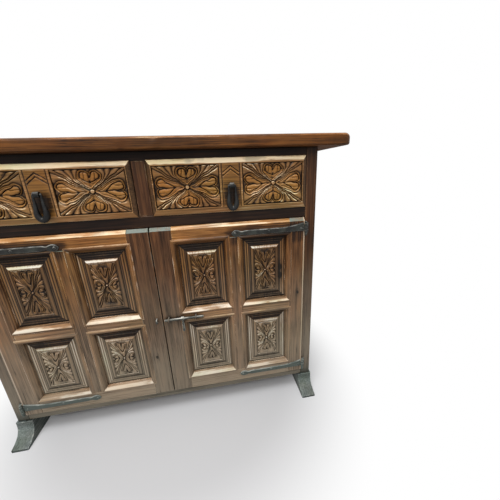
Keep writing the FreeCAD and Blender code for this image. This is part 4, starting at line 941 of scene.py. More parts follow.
def heart(along, across, tip, reach, spread, fat):
    """Height of a heart with a smaller one cut into it, and how far points lie outside it."""
    far = reach - fat
    outside = heart_outline(along, across, tip, far, spread, fat)
    core_tip = tip + CORE_TIP * (reach - tip)
    core_far, core_spread, core_fat = far + CORE_SHIFT * fat, CORE_SPREAD * spread, CORE_FAT * fat
    core = -heart_outline(along, across, core_tip, core_far, core_spread, core_fat)
    body = BODY_HEIGHT * rise(-outside, 0, BODY_SLOPE) + CROWN_HEIGHT * rise(-outside, 0, CROWN_SHARE * fat)
    rim = RIM_HEIGHT * crest(-outside - RIM_PLACE, RIM_WIDTH)
    trench = TRENCH_DEPTH * crest(-outside - TRENCH_PLACE, TRENCH_WIDTH)
    dome = DOME_HEIGHT * rise(core, DOME_START, DOME_SHARE * core_fat)
    notch_along = NOTCH_DRAWN * (along - core_far - NOTCH_PLACE * fat)
    notch = NOTCH_DEPTH * crest(np.hypot(notch_along, across), NOTCH_WIDTH)
    line = CUT_DEPTH * crest(core, CUT_WIDTH)
    gouge = GOUGE_DEPTH * crest(np.hypot(GOUGE_DRAWN * (along - core_tip), across), GOUGE_WIDTH)
    vein = VEIN_DEPTH * rise(core, *VEIN_START) * crest(np.abs(across) - VEIN_PLACE * spread, VEIN_WIDTH)
    height = body + (rim - trench) + dome - line - gouge - notch - vein
    return np.clip(height, 0, HEART_LIMIT), outside


print("a heart's core is", CORE_FAT, "as fat as the heart")

# %% Leaves and the whole rosette
LEAF_FLOOR, LEAF_HEIGHT, LEAF_ROUNDING = 0.08, 0.68, 0.6
LEAF_END_GAP, LEAF_END_POINT, LEAF_END_SLOPE = 0.8, 3.0, 2.2
LEAST_GAP = 0.01
FLANK_SHARE, HEART_EDGE = 0.80, 1.2
RIDGE_WIDTH, RIDGE_GROWTH, RIDGE_HEIGHT, RIDGE_SLOPE = 0.5, 0.032, 0.62, 1.4
SEAM_CUT, FIELD_FALL = 0.85, (0.2, 1.8)
BUTTON_SHARE, BUTTON_GAP, BUTTON_HEIGHT, BUTTON_SLOPE = 0.11, 1.4, 0.85, 2.4
HAND_WAVES, HAND_SHAKE = ((9.0, 0.45), (17.0, 0.75), (31.0, 0.9)), 0.9
DRAWER_HEARTS = {"tip": 0.15, "spread": 0.24, "fat": 0.285, "reach": 0.95, "leaf": 8.5}
TABLET_HEARTS = {"tip": 0.20, "spread": 0.20, "fat": 0.26, "reach": 0.88, "leaf": 10.0}
SAMPLE_HALF_X, SAMPLE_HALF_Z = 84.0, 50.0


def leaves(outside, seam, edge, count):
    """Height of the long leaves that fan out between a heart's side and the diagonal of the field."""
    share = np.clip(outside / np.maximum(outside + seam, LEAST_GAP), 0, 1)
    wave = np.abs(np.sin(math.pi * count * share))
    ends = rise(edge - LEAF_END_GAP - LEAF_END_POINT * (1 - wave) ** 2, 0, LEAF_END_SLOPE)
    return (LEAF_FLOOR + LEAF_HEIGHT * wave ** LEAF_ROUNDING) * ends


def unsteady(x, z, start):
    """Places moved a little, as a free hand moves its lines; start sets where the waves begin."""
    for length, share in HAND_WAVES:
        turn = start * length
        x, z = (
            x + HAND_SHAKE * share * np.sin(z / length * math.pi + turn),
            z + HAND_SHAKE * share * np.sin(x / length * math.pi + 2 * turn),
        )
    return x, z


def rosette(x, z, half_x, half_z, tip, spread, fat, reach, leaf, start=0.0):
    """Height from 0 to 1 of a rosette, and where its hearts are.

    tip, spread and fat are shares of its size, reach is a share of its half length, and leaf is the angle
    that a leaf takes up, in degrees.
    """
    size = min(half_x, half_z)
    edge = np.minimum(half_x - np.abs(x), half_z - np.abs(z))
    x, z = unsteady(x, z, start)
    seam = np.abs(np.abs(x) * half_z - np.abs(z) * half_x) / math.hypot(half_x, half_z)
    height, hearts = np.zeros_like(x), np.zeros_like(x)
    for along, across, length, wide in ((np.abs(x), z, half_x, half_z), (np.abs(z), x, half_z, half_x)):
        petal, outside = heart(along, across, tip * size, reach * length, spread * size, fat * size)
        flank = math.atan2((spread + FLANK_SHARE * fat) * size, reach * length - fat * size)
        count = max(1, round((math.atan2(wide, length) - flank) / math.radians(leaf)))
        cluster = np.where(outside < 0, petal, leaves(outside, seam, edge, count))
        mine = np.abs(across) * length <= along * wide
        height = np.where(mine, cluster, height)
        hearts = np.where(mine, rise(-outside, 0, HEART_EDGE), hearts)
    band = RIDGE_WIDTH + RIDGE_GROWTH * np.hypot(x, z) - seam
    beside = height * (1 - SEAM_CUT * crest(band, CUT_WIDTH))
    height = np.where(band > 0, RIDGE_HEIGHT * rise(band, 0, RIDGE_SLOPE), beside)
    height = height * rise(edge, *FIELD_FALL)
    button = BUTTON_SHARE * size - np.hypot(x, z)
    height = np.where(button > -BUTTON_GAP, 0.0, height)
    return np.maximum(height, BUTTON_HEIGHT * rise(button, 0, BUTTON_SLOPE)), hearts


middle_height, _ = rosette(np.zeros(1), np.zeros(1), SAMPLE_HALF_X, SAMPLE_HALF_Z, **DRAWER_HEARTS)
print("rosette at its middle:", float(middle_height[0]))

# %% [markdown]
# ## Framed reliefs as meshes
#
# A fielded panel is a row of rectangles, each a little smaller and at its own depth, with a carved field
# in the middle. The mesh is built the same way: closed loops of points from the back edge to the field,
# and a fine grid inside the last loop. The loops keep the mitres at the corners crisp, and the piece is
# closed at the back, so it is a solid.

# %% Mesh helpers
SMOOTH_LIMIT = math.radians(32)


def finish_mesh(name, points, faces, materials, layers=None, face_materials=None):
    """An object from points and faces, smooth except over sharp edges."""
    mesh = bpy.data.meshes.new(name)
    mesh.from_pydata(points, [], faces)
    for material in materials:
        mesh.materials.append(material)
    if face_materials is not None:
        mesh.polygons.foreach_set("material_index", face_materials)
    mesh.shade_smooth()
    mesh.set_sharp_from_angle(angle=SMOOTH_LIMIT)
    for label, values in (layers or {}).items():
        layer = mesh.attributes.new(label, "FLOAT", "POINT")
        layer.data.foreach_set("value", np.asarray(values, dtype=np.float32))
    piece = bpy.data.objects.new(name, mesh)
    bpy.context.scene.collection.objects.link(piece)
    return piece


def skin(points, faces, rows, flipped=False):
    """Add a closed skin over rows of points, each row a closed ring, with both ends capped."""
    first, count = len(points), len(rows[0])
    added = []
    for row in rows:
        points.extend(tuple(spot) for spot in row)
    for number in range(len(rows) - 1):
        here = first + number * count
        for corner in range(count):
            after = (corner + 1) % count
            added.append((here + corner, here + after, here + count + after, here + count + corner))
    added.append(tuple(reversed(range(first, first + count))))
    last = first + (len(rows) - 1) * count
    added.append(tuple(range(last, last + count)))
    if flipped:
        added = [tuple(reversed(face)) for face in added]
    faces.extend(added)


print("edges over", round(math.degrees(SMOOTH_LIMIT)), "degrees stay sharp")

# %% Framed relief
LEAST_CELLS = 2


def rectangle_loop(low, high, count_x, count_z):
    """Points round a rectangle, from its lower left corner to the right and on round."""
    (x0, z0), (x1, z1) = low, high
    across = np.linspace(x0, x1, count_x + 1)
    upward = np.linspace(z0, z1, count_z + 1)
    bottom = [(x, z0) for x in across[:-1]]
    right = [(x1, z) for z in upward[:-1]]
    top = [(x, z1) for x in across[:0:-1]]
    left = [(x0, z) for z in upward[:0:-1]]
    return bottom + right + top + left


def loop_relief(level, count_x, count_z):
    """The level at each point of a loop; one number, or three for the sides, top and bottom, as painted
    light and shade.
    """
    sides, top, bottom = level if isinstance(level, tuple) else (level, level, level)
    upright = [sides] * (count_z - 1)
    return [bottom] * (count_x + 1) + upright + [top] * (count_x + 1) + upright


def framed_relief(name, low, high, face_y, steps, field, cell, material):
    """A fielded solid; steps are (side inset, end inset, depth, relief) from the back to the field's edge.

    A step's level is one number, or three: for the upright sides, the top and the bottom, as painted light
    and shade.
    field gives depth, relief and golden tint at places measured from its middle, all in mm.
    """
    low, high = np.array(low), np.array(high)
    last = np.array(steps[-1][:2]) * MM
    size = high - low - 2 * last
    count_x, count_z = (max(LEAST_CELLS, round(float(length) / cell)) for length in size)
    points, relief_and_painted_light = [], []
    for side_inset, end_inset, depth, level in steps[:-1]:
        inset = np.array((side_inset, end_inset)) * MM
        loop = rectangle_loop(low + inset, high - inset, count_x, count_z)
        points += [(x, face_y + depth * MM, z) for x, z in loop]
        relief_and_painted_light += loop_relief(level, count_x, count_z)

    first, around = len(points), 2 * (count_x + count_z)
    across = np.linspace(-0.5, 0.5, count_x + 1) * size[0]
    upward = np.linspace(-0.5, 0.5, count_z + 1) * size[1]
    grid_x, grid_z = (places.ravel() for places in np.meshgrid(across, upward))
    depth, level, tint = field(grid_x / MM, grid_z / MM)
    middle = (low + high) / 2
    points += np.column_stack((middle[0] + grid_x, face_y + depth * MM, middle[1] + grid_z)).tolist()
    layers = {"relief_and_painted_light": relief_and_painted_light + level.tolist(), "tint": [0.0] * first + tint.tolist()}

    grid = first + np.arange(len(grid_x)).reshape(count_z + 1, count_x + 1)
    rim = np.concatenate((grid[0, :-1], grid[:-1, -1], grid[-1, :0:-1], grid[:0:-1, 0])).tolist()
    loops = [list(range(start, start + around)) for start in range(0, first, around)] + [rim]
    faces = []
    for outer, inner in zip(loops, loops[1:]):
        for here in range(around):
            there = (here + 1) % around
            faces.append((outer[here], outer[there], inner[there], inner[here]))
    corners = (grid[:-1, :-1], grid[:-1, 1:], grid[1:, 1:], grid[1:, :-1])
    faces += np.stack([corner.ravel() for corner in corners], axis=1).tolist()
    faces.append(tuple(reversed(loops[0])))
    return finish_mesh(name, points, faces, [material], layers)


print("a loop of 4 by 3 cells has", len(rectangle_loop((0, 0), (4, 3), 4, 3)), "points")

# %% [markdown]
# ## The worn slab
#
# The top slab has been knocked and polished for generations: its upper edge is round, its corners are
# blunt and no edge is quite straight. The frame's slab is sound but even, so this one takes its place. One
# closed line round the board is repeated at each height, drawn in by what the rounding takes there, and
# slow seeded waves and a few knocks make it uneven. It is only ever drawn in, so it keeps to its space.

# %% Outline of the slab
SLAB_FRONT_ROUND, SLAB_END_ROUND, SLAB_UNDER_ROUND = 6.5, 14.0, 5.0
SLAB_CORNER, SLAB_MARGIN = 20.0, 1.0
SLAB_ROUND_STEPS, SLAB_CORNER_STEPS, SLAB_SPACING = 8, 8, 6.0
QUARTER_TURN = math.pi / 2
UNDER_EDGE, UPPER_EDGE = 0, 1


def board_rim(half_x, half_y):
    """Places round a board with blunt corners, seen from above, and the way outward at each."""
    rim, ways = [], []
    turns = ((1, -1), (1, 1), (-1, 1), (-1, -1))
    middles = [np.array((x * (half_x - SLAB_CORNER), y * (half_y - SLAB_CORNER))) for x, y in turns]
    for turn, middle in enumerate(middles):
        angles = QUARTER_TURN * (turn - 1 + np.linspace(0, 1, SLAB_CORNER_STEPS + 1))
        outward = np.stack((np.cos(angles), np.sin(angles)), axis=1)
        rim += list(middle + SLAB_CORNER * outward)
        ways += list(outward)
        start = rim[-1]
        end = middles[(turn + 1) % len(middles)] + SLAB_CORNER * outward[-1]
        count = round(float(np.linalg.norm(end - start)) / SLAB_SPACING)
        for share in np.linspace(0, 1, count + 1)[1:-1]:
            rim.append(start + (end - start) * share)
            ways.append(outward[-1])
    return np.array(rim), np.array(ways)


def slab_profile():
    """Rows of (edge, shares of its rounding inward and off the face, share of a knock, margin)."""
    rows = [(UNDER_EDGE, 1.0, 0.0, 0.0, SLAB_MARGIN)]
    turns = np.linspace(0, QUARTER_TURN, SLAB_ROUND_STEPS + 1)
    for turn in turns:
        rows.append((UNDER_EDGE, 1 - math.sin(turn), 1 - math.cos(turn), math.sin(2 * turn), 0.0))
    for turn in turns:
        rows.append((UPPER_EDGE, 1 - math.cos(turn), 1 - math.sin(turn), math.sin(2 * turn), 0.0))
    return [*rows, (UPPER_EDGE, 1.0, 0.0, 0.0, SLAB_MARGIN)]


print(len(slab_profile()), "rows from the slab's underside to its top")

# %% Top slab
SLAB_WAVES, SLAB_WAVE_DEPTH = (3, 7, 11, 17, 29), 0.09
SLAB_KNOCKS, KNOCK_DEPTH, KNOCK_LENGTH = 26, 1.8, 6.0


def rim_wear(places, dice):
    """How far the rim is worn in at each place, and the knocks in the under and the upper edge."""
    share = np.arange(places) / places
    wear = np.zeros(places)
    for count in SLAB_WAVES:
        wear += SLAB_WAVE_DEPTH * (1 + np.sin(2 * math.pi * (count * share + dice.uniform())))
    knocks = {}
    for edge in (UNDER_EDGE, UPPER_EDGE):
        knocks[edge] = np.zeros(places)
        for place, depth in dice.uniform(size=(SLAB_KNOCKS, 2)):
            away = np.abs((share - place + 0.5) % 1 - 0.5) * places * SLAB_SPACING
            knocks[edge] += KNOCK_DEPTH * depth * crest(away, KNOCK_LENGTH)
    return wear, knocks


def worn_slab(dice):
    """The slab with blunt corners, slow waves along its rim and knocks in both edges."""
    low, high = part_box("top_slab")
    size, middle = (high - low) / MM, (low + high) / 2
    rim, ways = board_rim(size.x / 2, size.y / 2)
    wear, knocks = rim_wear(len(rim), dice)
    upper_round = SLAB_FRONT_ROUND + (SLAB_END_ROUND - SLAB_FRONT_ROUND) * np.abs(ways[:, 0])
    rounds = {UNDER_EDGE: np.full(len(rim), SLAB_UNDER_ROUND), UPPER_EDGE: upper_round}
    rows = []
    for edge, inward, off_face, knocked, margin in slab_profile():
        drawn_in = margin + inward * rounds[edge] + wear + knocked * knocks[edge]
        places = rim - ways * drawn_in[:, None]
        heights = off_face * rounds[edge]
        if edge == UPPER_EDGE:
            heights = size.z - heights
        spots = np.column_stack((places, heights)) * MM
        rows.append(spots + (middle.x, middle.y, low.z))
    points, faces = [], []
    skin(points, faces, rows)
    piece = finish_mesh("worn_top_slab", points, faces, [woods["slab_X"]])
    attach(piece, "carcase")
    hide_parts("top_slab")
    return piece


made = worn_slab(np.random.default_rng(RNG_SEED))
print(made.name, len(made.data.vertices), "points")

# %% [markdown]
# ## Carved drawer fronts
#
# Each drawer front has a thin lip at its top and bottom, a hollow bevel all round and a narrow border. Two
# carved fields lie inside it, each with a cut line beside it, and a plain panel for the pull between them,
# with chevrons cut into its top and a painted shadow where the iron hangs. The bevel carries painted light:
# bright along its top, shaded on its sides. A drawer front could be carved by displacing a plane, but loops
# keep the bevel's mitres straight; only the flat is worked out as a field.

# %% Field of a drawer front
DRAWER_BORDER, DRAWER_FILLET = 1.5, 8.0
PULL_PANEL_WIDTH, PULL_PANEL_EDGE = 46.0, 1.5
DRAWER_GROUND, DRAWER_CARVING = 5.2, 5.4
CHEVRON_PLACES, CHEVRON_SLOPE, CHEVRON_WIDTH, CHEVRON_DEPTH = (41.0, 50.0), 0.75, 1.6, 2.0
FILLET_LINE, FILLET_LINE_WIDTH, FILLET_LINE_DEPTH = 6.6, 1.2, 1.8
# a painted shadow under the pull, where it hangs
PULL_SHADOW_Z, PULL_SHADOW_RADIUS = -24.0, 26.0
GROUND_RELIEF, BORDER_RELIEF = 0.02, 0.72
PANEL_DARKER, CUT_DARKER, PULL_SHADOW_DARKER = 0.26, 0.30, 0.38
DRAWER_CARVED_RELIEF, DRAWER_HEART_DARKER = 0.88, 0.24


def drawer_field(half_x, half_z):
    """The flat of a drawer front: depth, relief and tint for points measured from its middle."""
    carved_half_x = (half_x - DRAWER_BORDER - PULL_PANEL_WIDTH / 2 - DRAWER_FILLET) / 2
    carved_half_z = half_z - DRAWER_BORDER
    carved_middle = PULL_PANEL_WIDTH / 2 + DRAWER_FILLET + carved_half_x

    def surface(x, z):
        away, hand = np.abs(x), np.sign(x)
        edge_x, edge_z = carved_half_x - np.abs(away - carved_middle), carved_half_z - np.abs(z)
        inside = np.minimum(edge_x, edge_z) > 0
        carved, hearts = rosette(
            x - hand * carved_middle, z, carved_half_x, carved_half_z, **DRAWER_HEARTS, start=hand,
        )
        line = crest(edge_x + FILLET_LINE, FILLET_LINE_WIDTH) * (away < carved_middle)
        chevrons = np.zeros_like(x)
        for place in CHEVRON_PLACES:
            chevrons = np.maximum(chevrons, crest(z + CHEVRON_SLOPE * away - place, CHEVRON_WIDTH))
        on_panel = rise(PULL_PANEL_WIDTH / 2 - away, 0, PULL_PANEL_EDGE) * rise(edge_z, 0, PULL_PANEL_EDGE)
        cuts = np.maximum(line * FILLET_LINE_DEPTH, chevrons * on_panel * CHEVRON_DEPTH)
        # painted shadow of the pull on its panel
        pull_shadow = on_panel * crest(np.hypot(x, z - PULL_SHADOW_Z), PULL_SHADOW_RADIUS)
        depth = np.where(inside, DRAWER_GROUND - DRAWER_CARVING * carved, cuts)
        plain = BORDER_RELIEF - PANEL_DARKER * on_panel - CUT_DARKER * cuts - PULL_SHADOW_DARKER * pull_shadow
        worked = GROUND_RELIEF + (DRAWER_CARVED_RELIEF - DRAWER_HEART_DARKER * hearts) * carved
        level = np.clip(np.where(inside, worked, plain), GROUND_RELIEF, 1)
        return depth, level, np.where(inside, hearts, on_panel)

    return surface


print("the pull's panel is", PULL_PANEL_WIDTH, "mm wide")

# %% Drawer fronts
DRAWER_CELL = 1.0 * MM
DRAWER_LIP, DRAWER_LIP_DEPTH = 3.5, 8.0
DRAWER_SHOULDER, DRAWER_EDGE, DRAWER_ARRIS = 5.0, 1.6, 0.8
ARRIS_INSET, BEVEL_START, BEVEL_WIDTH, BEVEL_HOLLOW = 1.0, 1.5, 11.0, 1.25
FIELD_MARGIN = 0.5
BACK_RELIEF, LIP_RELIEF, EDGE_RELIEF, BEVEL_END_RELIEF = 0.5, 0.2, 0.3, 0.78
# painted light for the sides, top and bottom: shaded sides, a bright top as a painted highlight, a pale
# lower arris
ARRIS_PAINTED_LIGHT, BEVEL_PAINTED_LIGHT = (0.40, 0.62, 1.0), (0.42, 0.94, 0.76)
# each loop's share of the bevel, and a gain that makes the painted highlight brightest in the upper middle
BEVEL_STEPS_AND_HIGHLIGHT = ((0.0, 0.86), (0.2, 1.0), (0.4, 1.0), (0.6, 0.98), (0.8, 0.86), (0.93, 0.74))


def drawer_steps(thickness):
    """Loops from the back of a drawer front over its lip and down the hollow bevel to its flat, with
    painted light.
    """
    steps = [
        (0.0, 0.0, thickness, BACK_RELIEF),
        (0.0, 0.0, DRAWER_LIP_DEPTH, LIP_RELIEF),
        (0.0, -DRAWER_LIP, DRAWER_LIP_DEPTH, LIP_RELIEF),
        (0.0, -DRAWER_LIP, DRAWER_SHOULDER + DRAWER_EDGE, EDGE_RELIEF),
        (ARRIS_INSET, ARRIS_INSET - DRAWER_LIP, DRAWER_SHOULDER + DRAWER_ARRIS, ARRIS_PAINTED_LIGHT),
    ]
    for share, highlight_gain in BEVEL_STEPS_AND_HIGHLIGHT:
        inset = BEVEL_START + share * (BEVEL_WIDTH - BEVEL_START)
        depth = DRAWER_SHOULDER * (1 - share) ** BEVEL_HOLLOW
        shades = tuple(highlight_gain * shade for shade in BEVEL_PAINTED_LIGHT)
        steps.append((inset, inset - DRAWER_LIP * (1 - share), depth, shades))
    edge = BEVEL_WIDTH + FIELD_MARGIN
    return [*steps, (BEVEL_WIDTH, BEVEL_WIDTH, 0.0, BEVEL_END_RELIEF), (edge, edge, 0.0, BORDER_RELIEF)]


def drawer_front(side):
    """One carved front in the place of the frame's plain one."""
    node = f"{side}_drawer_front"
    low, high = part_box(node)
    size = (high - low) / MM
    half_x, half_z = (length / 2 - BEVEL_WIDTH - FIELD_MARGIN for length in (size.x, size.z))
    piece = framed_relief(
        f"carved_{node}", (low.x, low.z), (high.x, high.z), low.y, drawer_steps(size.y),
        drawer_field(half_x, half_z), DRAWER_CELL, woods["carved_X"],
    )
    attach(piece, f"{side}_drawer")
    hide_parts(node)
    return piece


for side in SIDES:
    made = drawer_front(side)
    print(made.name, len(made.data.vertices), "points")

# %% [markdown]
# ## Door panels
#
# A door panel climbs from its groove by three thin reeds to a raised tablet with a round shoulder. The
# tablet carries the same rosette, tall and narrow. Each loop has one relief for its sides, one for its
# top and one for its bottom: the reeds are painted dark at their tops and bottoms as shade under the
# edges, and the tablet's upper lip bright as a highlight. A few seeded differences keep the eight panels
# from looking stamped.

# %% Openings and steps of a door panel
MOULDING_WIDTH, MOULDING_DEPTH = 15.0, 13.0
TABLET_SIDE, TABLET_END = 29.0, 31.0
TONGUE_DEPTH, TONGUE_RELIEF = 6.0, 0.05
REED_STEPS = (
    (0.00, 0.0, 0.34), (0.04, 0.3, 0.40), (0.07, 1.3, 0.62), (0.12, 2.0, 0.84), (0.18, 2.0, 0.80),
    (0.23, 1.4, 0.52), (0.26, 0.8, 0.16), (0.29, 1.7, 0.54), (0.34, 2.6, 0.84), (0.40, 2.6, 0.78),
    (0.45, 2.0, 0.50), (0.48, 1.5, 0.14), (0.52, 2.0, 0.50), (0.60, 2.6, 0.44), (0.64, 2.4, 0.05),
)
PILLOW_STEPS = (
    (0.68, 3.2, 0.44), (0.74, 4.7, 0.62), (0.81, 6.0, 0.70), (0.88, 6.8, 0.66), (0.93, 7.0, 0.50),
    (0.965, 6.1, 0.05), (1.00, 6.9, 0.70),
)
# painted light per row for the sides, top and bottom: dark tops and bottoms are painted shade, a bright
# pillow top a painted highlight
REED_PAINTED_LIGHT = {"upper": (0.90, 0.12, 0.26), "lower": (1.12, 0.14, 0.60)}
PILLOW_PAINTED_LIGHT = {"upper": (0.90, 1.15, 0.55), "lower": (0.95, 0.92, 0.60)}


def left_edge(box):
    """The X of a box's left side."""
    return box[0].x


def door_openings(side):
    """The four openings of a door, as lower and upper corners in X and Z."""
    boards = ("lock_stile", "muntin", "hinge_stile", "bottom_rail", "mid_rails", "top_rail")
    *uprights, bottom, middle, top = (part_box(f"{side}_door_{board}") for board in boards)
    uprights.sort(key=left_edge)
    rows = {"lower": (bottom[1].z, middle[0].z), "upper": (middle[1].z, top[0].z)}
    openings = {}
    for place, (left, right) in enumerate(zip(uprights, uprights[1:])):
        for row, (z0, z1) in rows.items():
            openings[f"{row}_{place + 1}"] = ((left[1].x, z0), (right[0].x, z1))
    return openings


def panel_steps(row, back):
    """Loops from the back of a panel round its tongue and over reeds and shoulder to the tablet."""
    tongue = -TONGUE_DEPTH
    steps = [(tongue, tongue, back, BACK_RELIEF), (tongue, tongue, MOULDING_DEPTH, TONGUE_RELIEF)]
    for climb, shades in ((REED_STEPS, REED_PAINTED_LIGHT[row]), (PILLOW_STEPS, PILLOW_PAINTED_LIGHT[row])):
        for share, height, level in climb:
            insets = (MOULDING_WIDTH + share * reach for reach in (TABLET_SIDE, TABLET_END))
            steps.append((*insets, MOULDING_DEPTH - height, tuple(level * shade for shade in shades)))
    return steps


print("openings of a door:", ", ".join(door_openings(SIDES[0])))

# %% Carved door panels
TABLET_DEPTH, TABLET_GROUND, TABLET_CARVING = 6.0, 3.6, 3.9
TABLET_CELL = 0.8 * MM
TABLET_RIM, TABLET_RIM_FALL = 0.85, (0.2, 1.6)
TABLET_RELIEF = {"upper": 0.80, "lower": 1.00}
TABLET_HEART_DARKER, TABLET_HEART_TINT = 0.20, 0.3
TABLET_JITTER, TABLET_STARTS = 0.06, 40.0


def tablet_field(half_x, half_z, jitter, brightest):
    """The face of a tablet: depth, relief and tint for points measured from its middle."""
    shares = {name: share * (1 + jitter) for name, share in TABLET_HEARTS.items()}

    def surface(x, z):
        carved, hearts = rosette(x, z, half_x, half_z, **shares, start=TABLET_STARTS * jitter)
        edge = np.minimum(half_x - np.abs(x), half_z - np.abs(z))
        height = np.maximum(carved, TABLET_RIM * (1 - rise(edge, *TABLET_RIM_FALL)))
        depth = TABLET_DEPTH + TABLET_GROUND - TABLET_CARVING * height
        level = GROUND_RELIEF + (brightest - TABLET_HEART_DARKER * hearts) * height
        return depth, np.clip(level, GROUND_RELIEF, 1), TABLET_HEART_TINT * hearts

    return surface


def door_panel(side, key, low, high, jitter):
    """One carved panel in its opening."""
    face_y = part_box(f"{side}_door_lock_stile")[0].y
    back = (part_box(f"{side}_door_panels")[1].y - face_y) / MM
    row = key.split("_")[0]
    half_x = (high[0] - low[0]) / 2 / MM - MOULDING_WIDTH - TABLET_SIDE
    half_z = (high[1] - low[1]) / 2 / MM - MOULDING_WIDTH - TABLET_END
    piece = framed_relief(
        f"{side}_door_panel_{key}", low, high, face_y, panel_steps(row, back),
        tablet_field(half_x, half_z, jitter, TABLET_RELIEF[row]), TABLET_CELL, woods["tablet_Z"],
    )
    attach(piece, f"{side}_door")
    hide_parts(f"{side}_door_panels")
    return piece


dice = np.random.default_rng(RNG_SEED)
for side in SIDES:
    for key, (low, high) in door_openings(side).items():
        made = door_panel(side, key, low, high, jitter=dice.uniform(-TABLET_JITTER, TABLET_JITTER))
        print(made.name, len(made.data.vertices), "points")

# %% [markdown]
# ## Panel mouldings
#
# Four strips, mitred at the corners, run round each opening and lap a little over the frame. Their round
# nose stands proud of the door and then falls away to the panel. Each strip is one outline drawn out along
# its side, with its two ends cut on the slant, and it keeps its grain along its length.

# %% Mouldings
MOULDING_OUTLINE = (
    (0.30, 13.0), (0.30, -0.02), (0.0, -0.02), (0.01, -0.3), (0.07, -1.3), (0.15, -2.3), (0.24, -3.0),
    (0.32, -3.2), (0.40, -2.9), (0.48, -2.0), (0.57, -0.4), (0.67, 1.7), (0.79, 4.6), (0.88, 7.8),
    (0.95, 10.6), (0.97, 12.0), (1.00, 13.0),
)
MOULDING_PIECES = 10
MOULDING_LAP, LAP_UNDER_STRAP, MOULDING_REACH = 5.6, 2.0, 13.0
STRIP_WOODS, STRIP_FINISHES = ("moulding_X", "moulding_Z", "head_X"), (0, 1, 2, 1)


def corners_of(low, high):
    """The corners of a rectangle, from its lower left to the right and on round."""
    return np.array(((low[0], low[1]), (high[0], low[1]), (high[0], high[1]), (low[0], high[1])))


def strip_rows(outer, inner, corner, face_y):
    """Outlines along a mitred strip from a corner to the next; outer and inner are its edges' corners."""
    insets, depths = np.array(MOULDING_OUTLINE).T
    following = (corner + 1) % len(outer)
    near, far = (
        outer[place] + np.outer(insets, inner[place] - outer[place]) for place in (corner, following)
    )
    rows = []
    for share in np.linspace(0, 1, MOULDING_PIECES + 1):
        x, z = (near + (far - near) * share).T
        rows.append(np.column_stack((x, face_y + depths * MM, z)))
    return rows


def moulding_ring(side, key, low, high):
    """Four strips that lap over the frame, only a little where a strap lies close above."""
    face_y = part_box(f"{side}_door_lock_stile")[0].y
    strap_low, strap_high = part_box(f"{side}_door_straps")
    under_strap = key.startswith("upper") and low[0] < strap_high.x and high[0] > strap_low.x
    lap_above = LAP_UNDER_STRAP if under_strap else MOULDING_LAP
    low, high = np.array(low), np.array(high)
    outer = corners_of(low - MOULDING_LAP * MM, high + np.array((MOULDING_LAP, lap_above)) * MM)
    inner = corners_of(low + MOULDING_REACH * MM, high - MOULDING_REACH * MM)
    points, faces, finishes = [], [], []
    for corner, finish in enumerate(STRIP_FINISHES):
        before = len(faces)
        skin(points, faces, strip_rows(outer, inner, corner, face_y), flipped=True)
        finishes += [finish] * (len(faces) - before)
    materials = [woods[kind] for kind in STRIP_WOODS]
    piece = finish_mesh(f"{side}_door_moulding_{key}", points, faces, materials, face_materials=finishes)
    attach(piece, f"{side}_door")
    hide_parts(f"{side}_door_mouldings")
    return piece


for side in SIDES:
    made = [moulding_ring(side, key, low, high) for key, (low, high) in door_openings(side).items()]
    print(len(made), "mouldings on the", side, "door")

# %% [markdown]
# ## Strap hinges
#
# Each strap is a bar beaten out of one piece: a leaf-like free end, a long even stretch and an upper edge
# that sweeps up to the barrel. It is drawn as a row of sections along its length, each with bevelled front
# corners, and a few seeded hammer blows move the sections a little. The knuckle is a turned ring with a
# real hole, because the hinge pin has to turn in it.

# %% Sections of a strap
STRAP_SPACING = 3.5
STRAP_BEVEL, STRAP_TOP_BEVEL, BEVEL_LIMIT = 0.9, 2.0, 0.45
STRAP_OUTLINE = (
    (0.0, 0.8, 0.8), (1.5, 3.4, 3.4), (4.5, 6.6, 6.6), (8.5, 9.0, 9.0), (13.0, 10.0, 10.0),
    (18.0, 9.4, 9.4), (23.0, 7.6, 7.6), (27.0, 5.6, 5.6), (30.0, 5.0, 5.0), (33.0, 5.6, 5.6),
    (38.0, 7.0, 7.0), (44.0, 7.5, 7.5), (150.0, 7.5, 7.5), (165.0, 8.2, 7.5), (180.0, 10.0, 7.5),
    (195.0, 12.8, 7.5), (208.0, 15.8, 7.5), (219.6, 18.4, 7.5),
)
WRAP_OUTLINE = ((220.0, 5.0, 5.0), (221.6, 5.0, 5.0))
STRAP_REACH = 225.0
HAMMER_BLOW = 0.30


def strap_rows(outline, hand, axis, plate, dice):
    """Sections of a strap from its free end; outline is (way along, height above, height below)."""
    ways, above, below = (np.array(column) for column in zip(*outline))
    stops = np.unique(np.concatenate([ways, np.arange(ways[0], ways[-1], STRAP_SPACING)]))
    rows = []
    for way in stops:
        up = np.interp(way, ways, above) + dice.uniform(-HAMMER_BLOW, 0)
        down = np.interp(way, ways, below) + dice.uniform(-HAMMER_BLOW, 0)
        front = plate[0] + dice.uniform(0, HAMMER_BLOW) * MM
        bevel, top = (min(most, BEVEL_LIMIT * min(up, down)) for most in (STRAP_BEVEL, STRAP_TOP_BEVEL))
        x = axis.x - hand * (STRAP_REACH - way) * MM
        corners = (
            (-down, plate[1]), (-down, front + bevel * MM), (bevel - down, front),
            (up - top, front), (up, front + top * MM), (up, plate[1]),
        )
        rows.append([(x, y, axis.z + z * MM) for z, y in corners])
    return rows


print("a strap is", STRAP_REACH, "mm long to the middle of its pin")

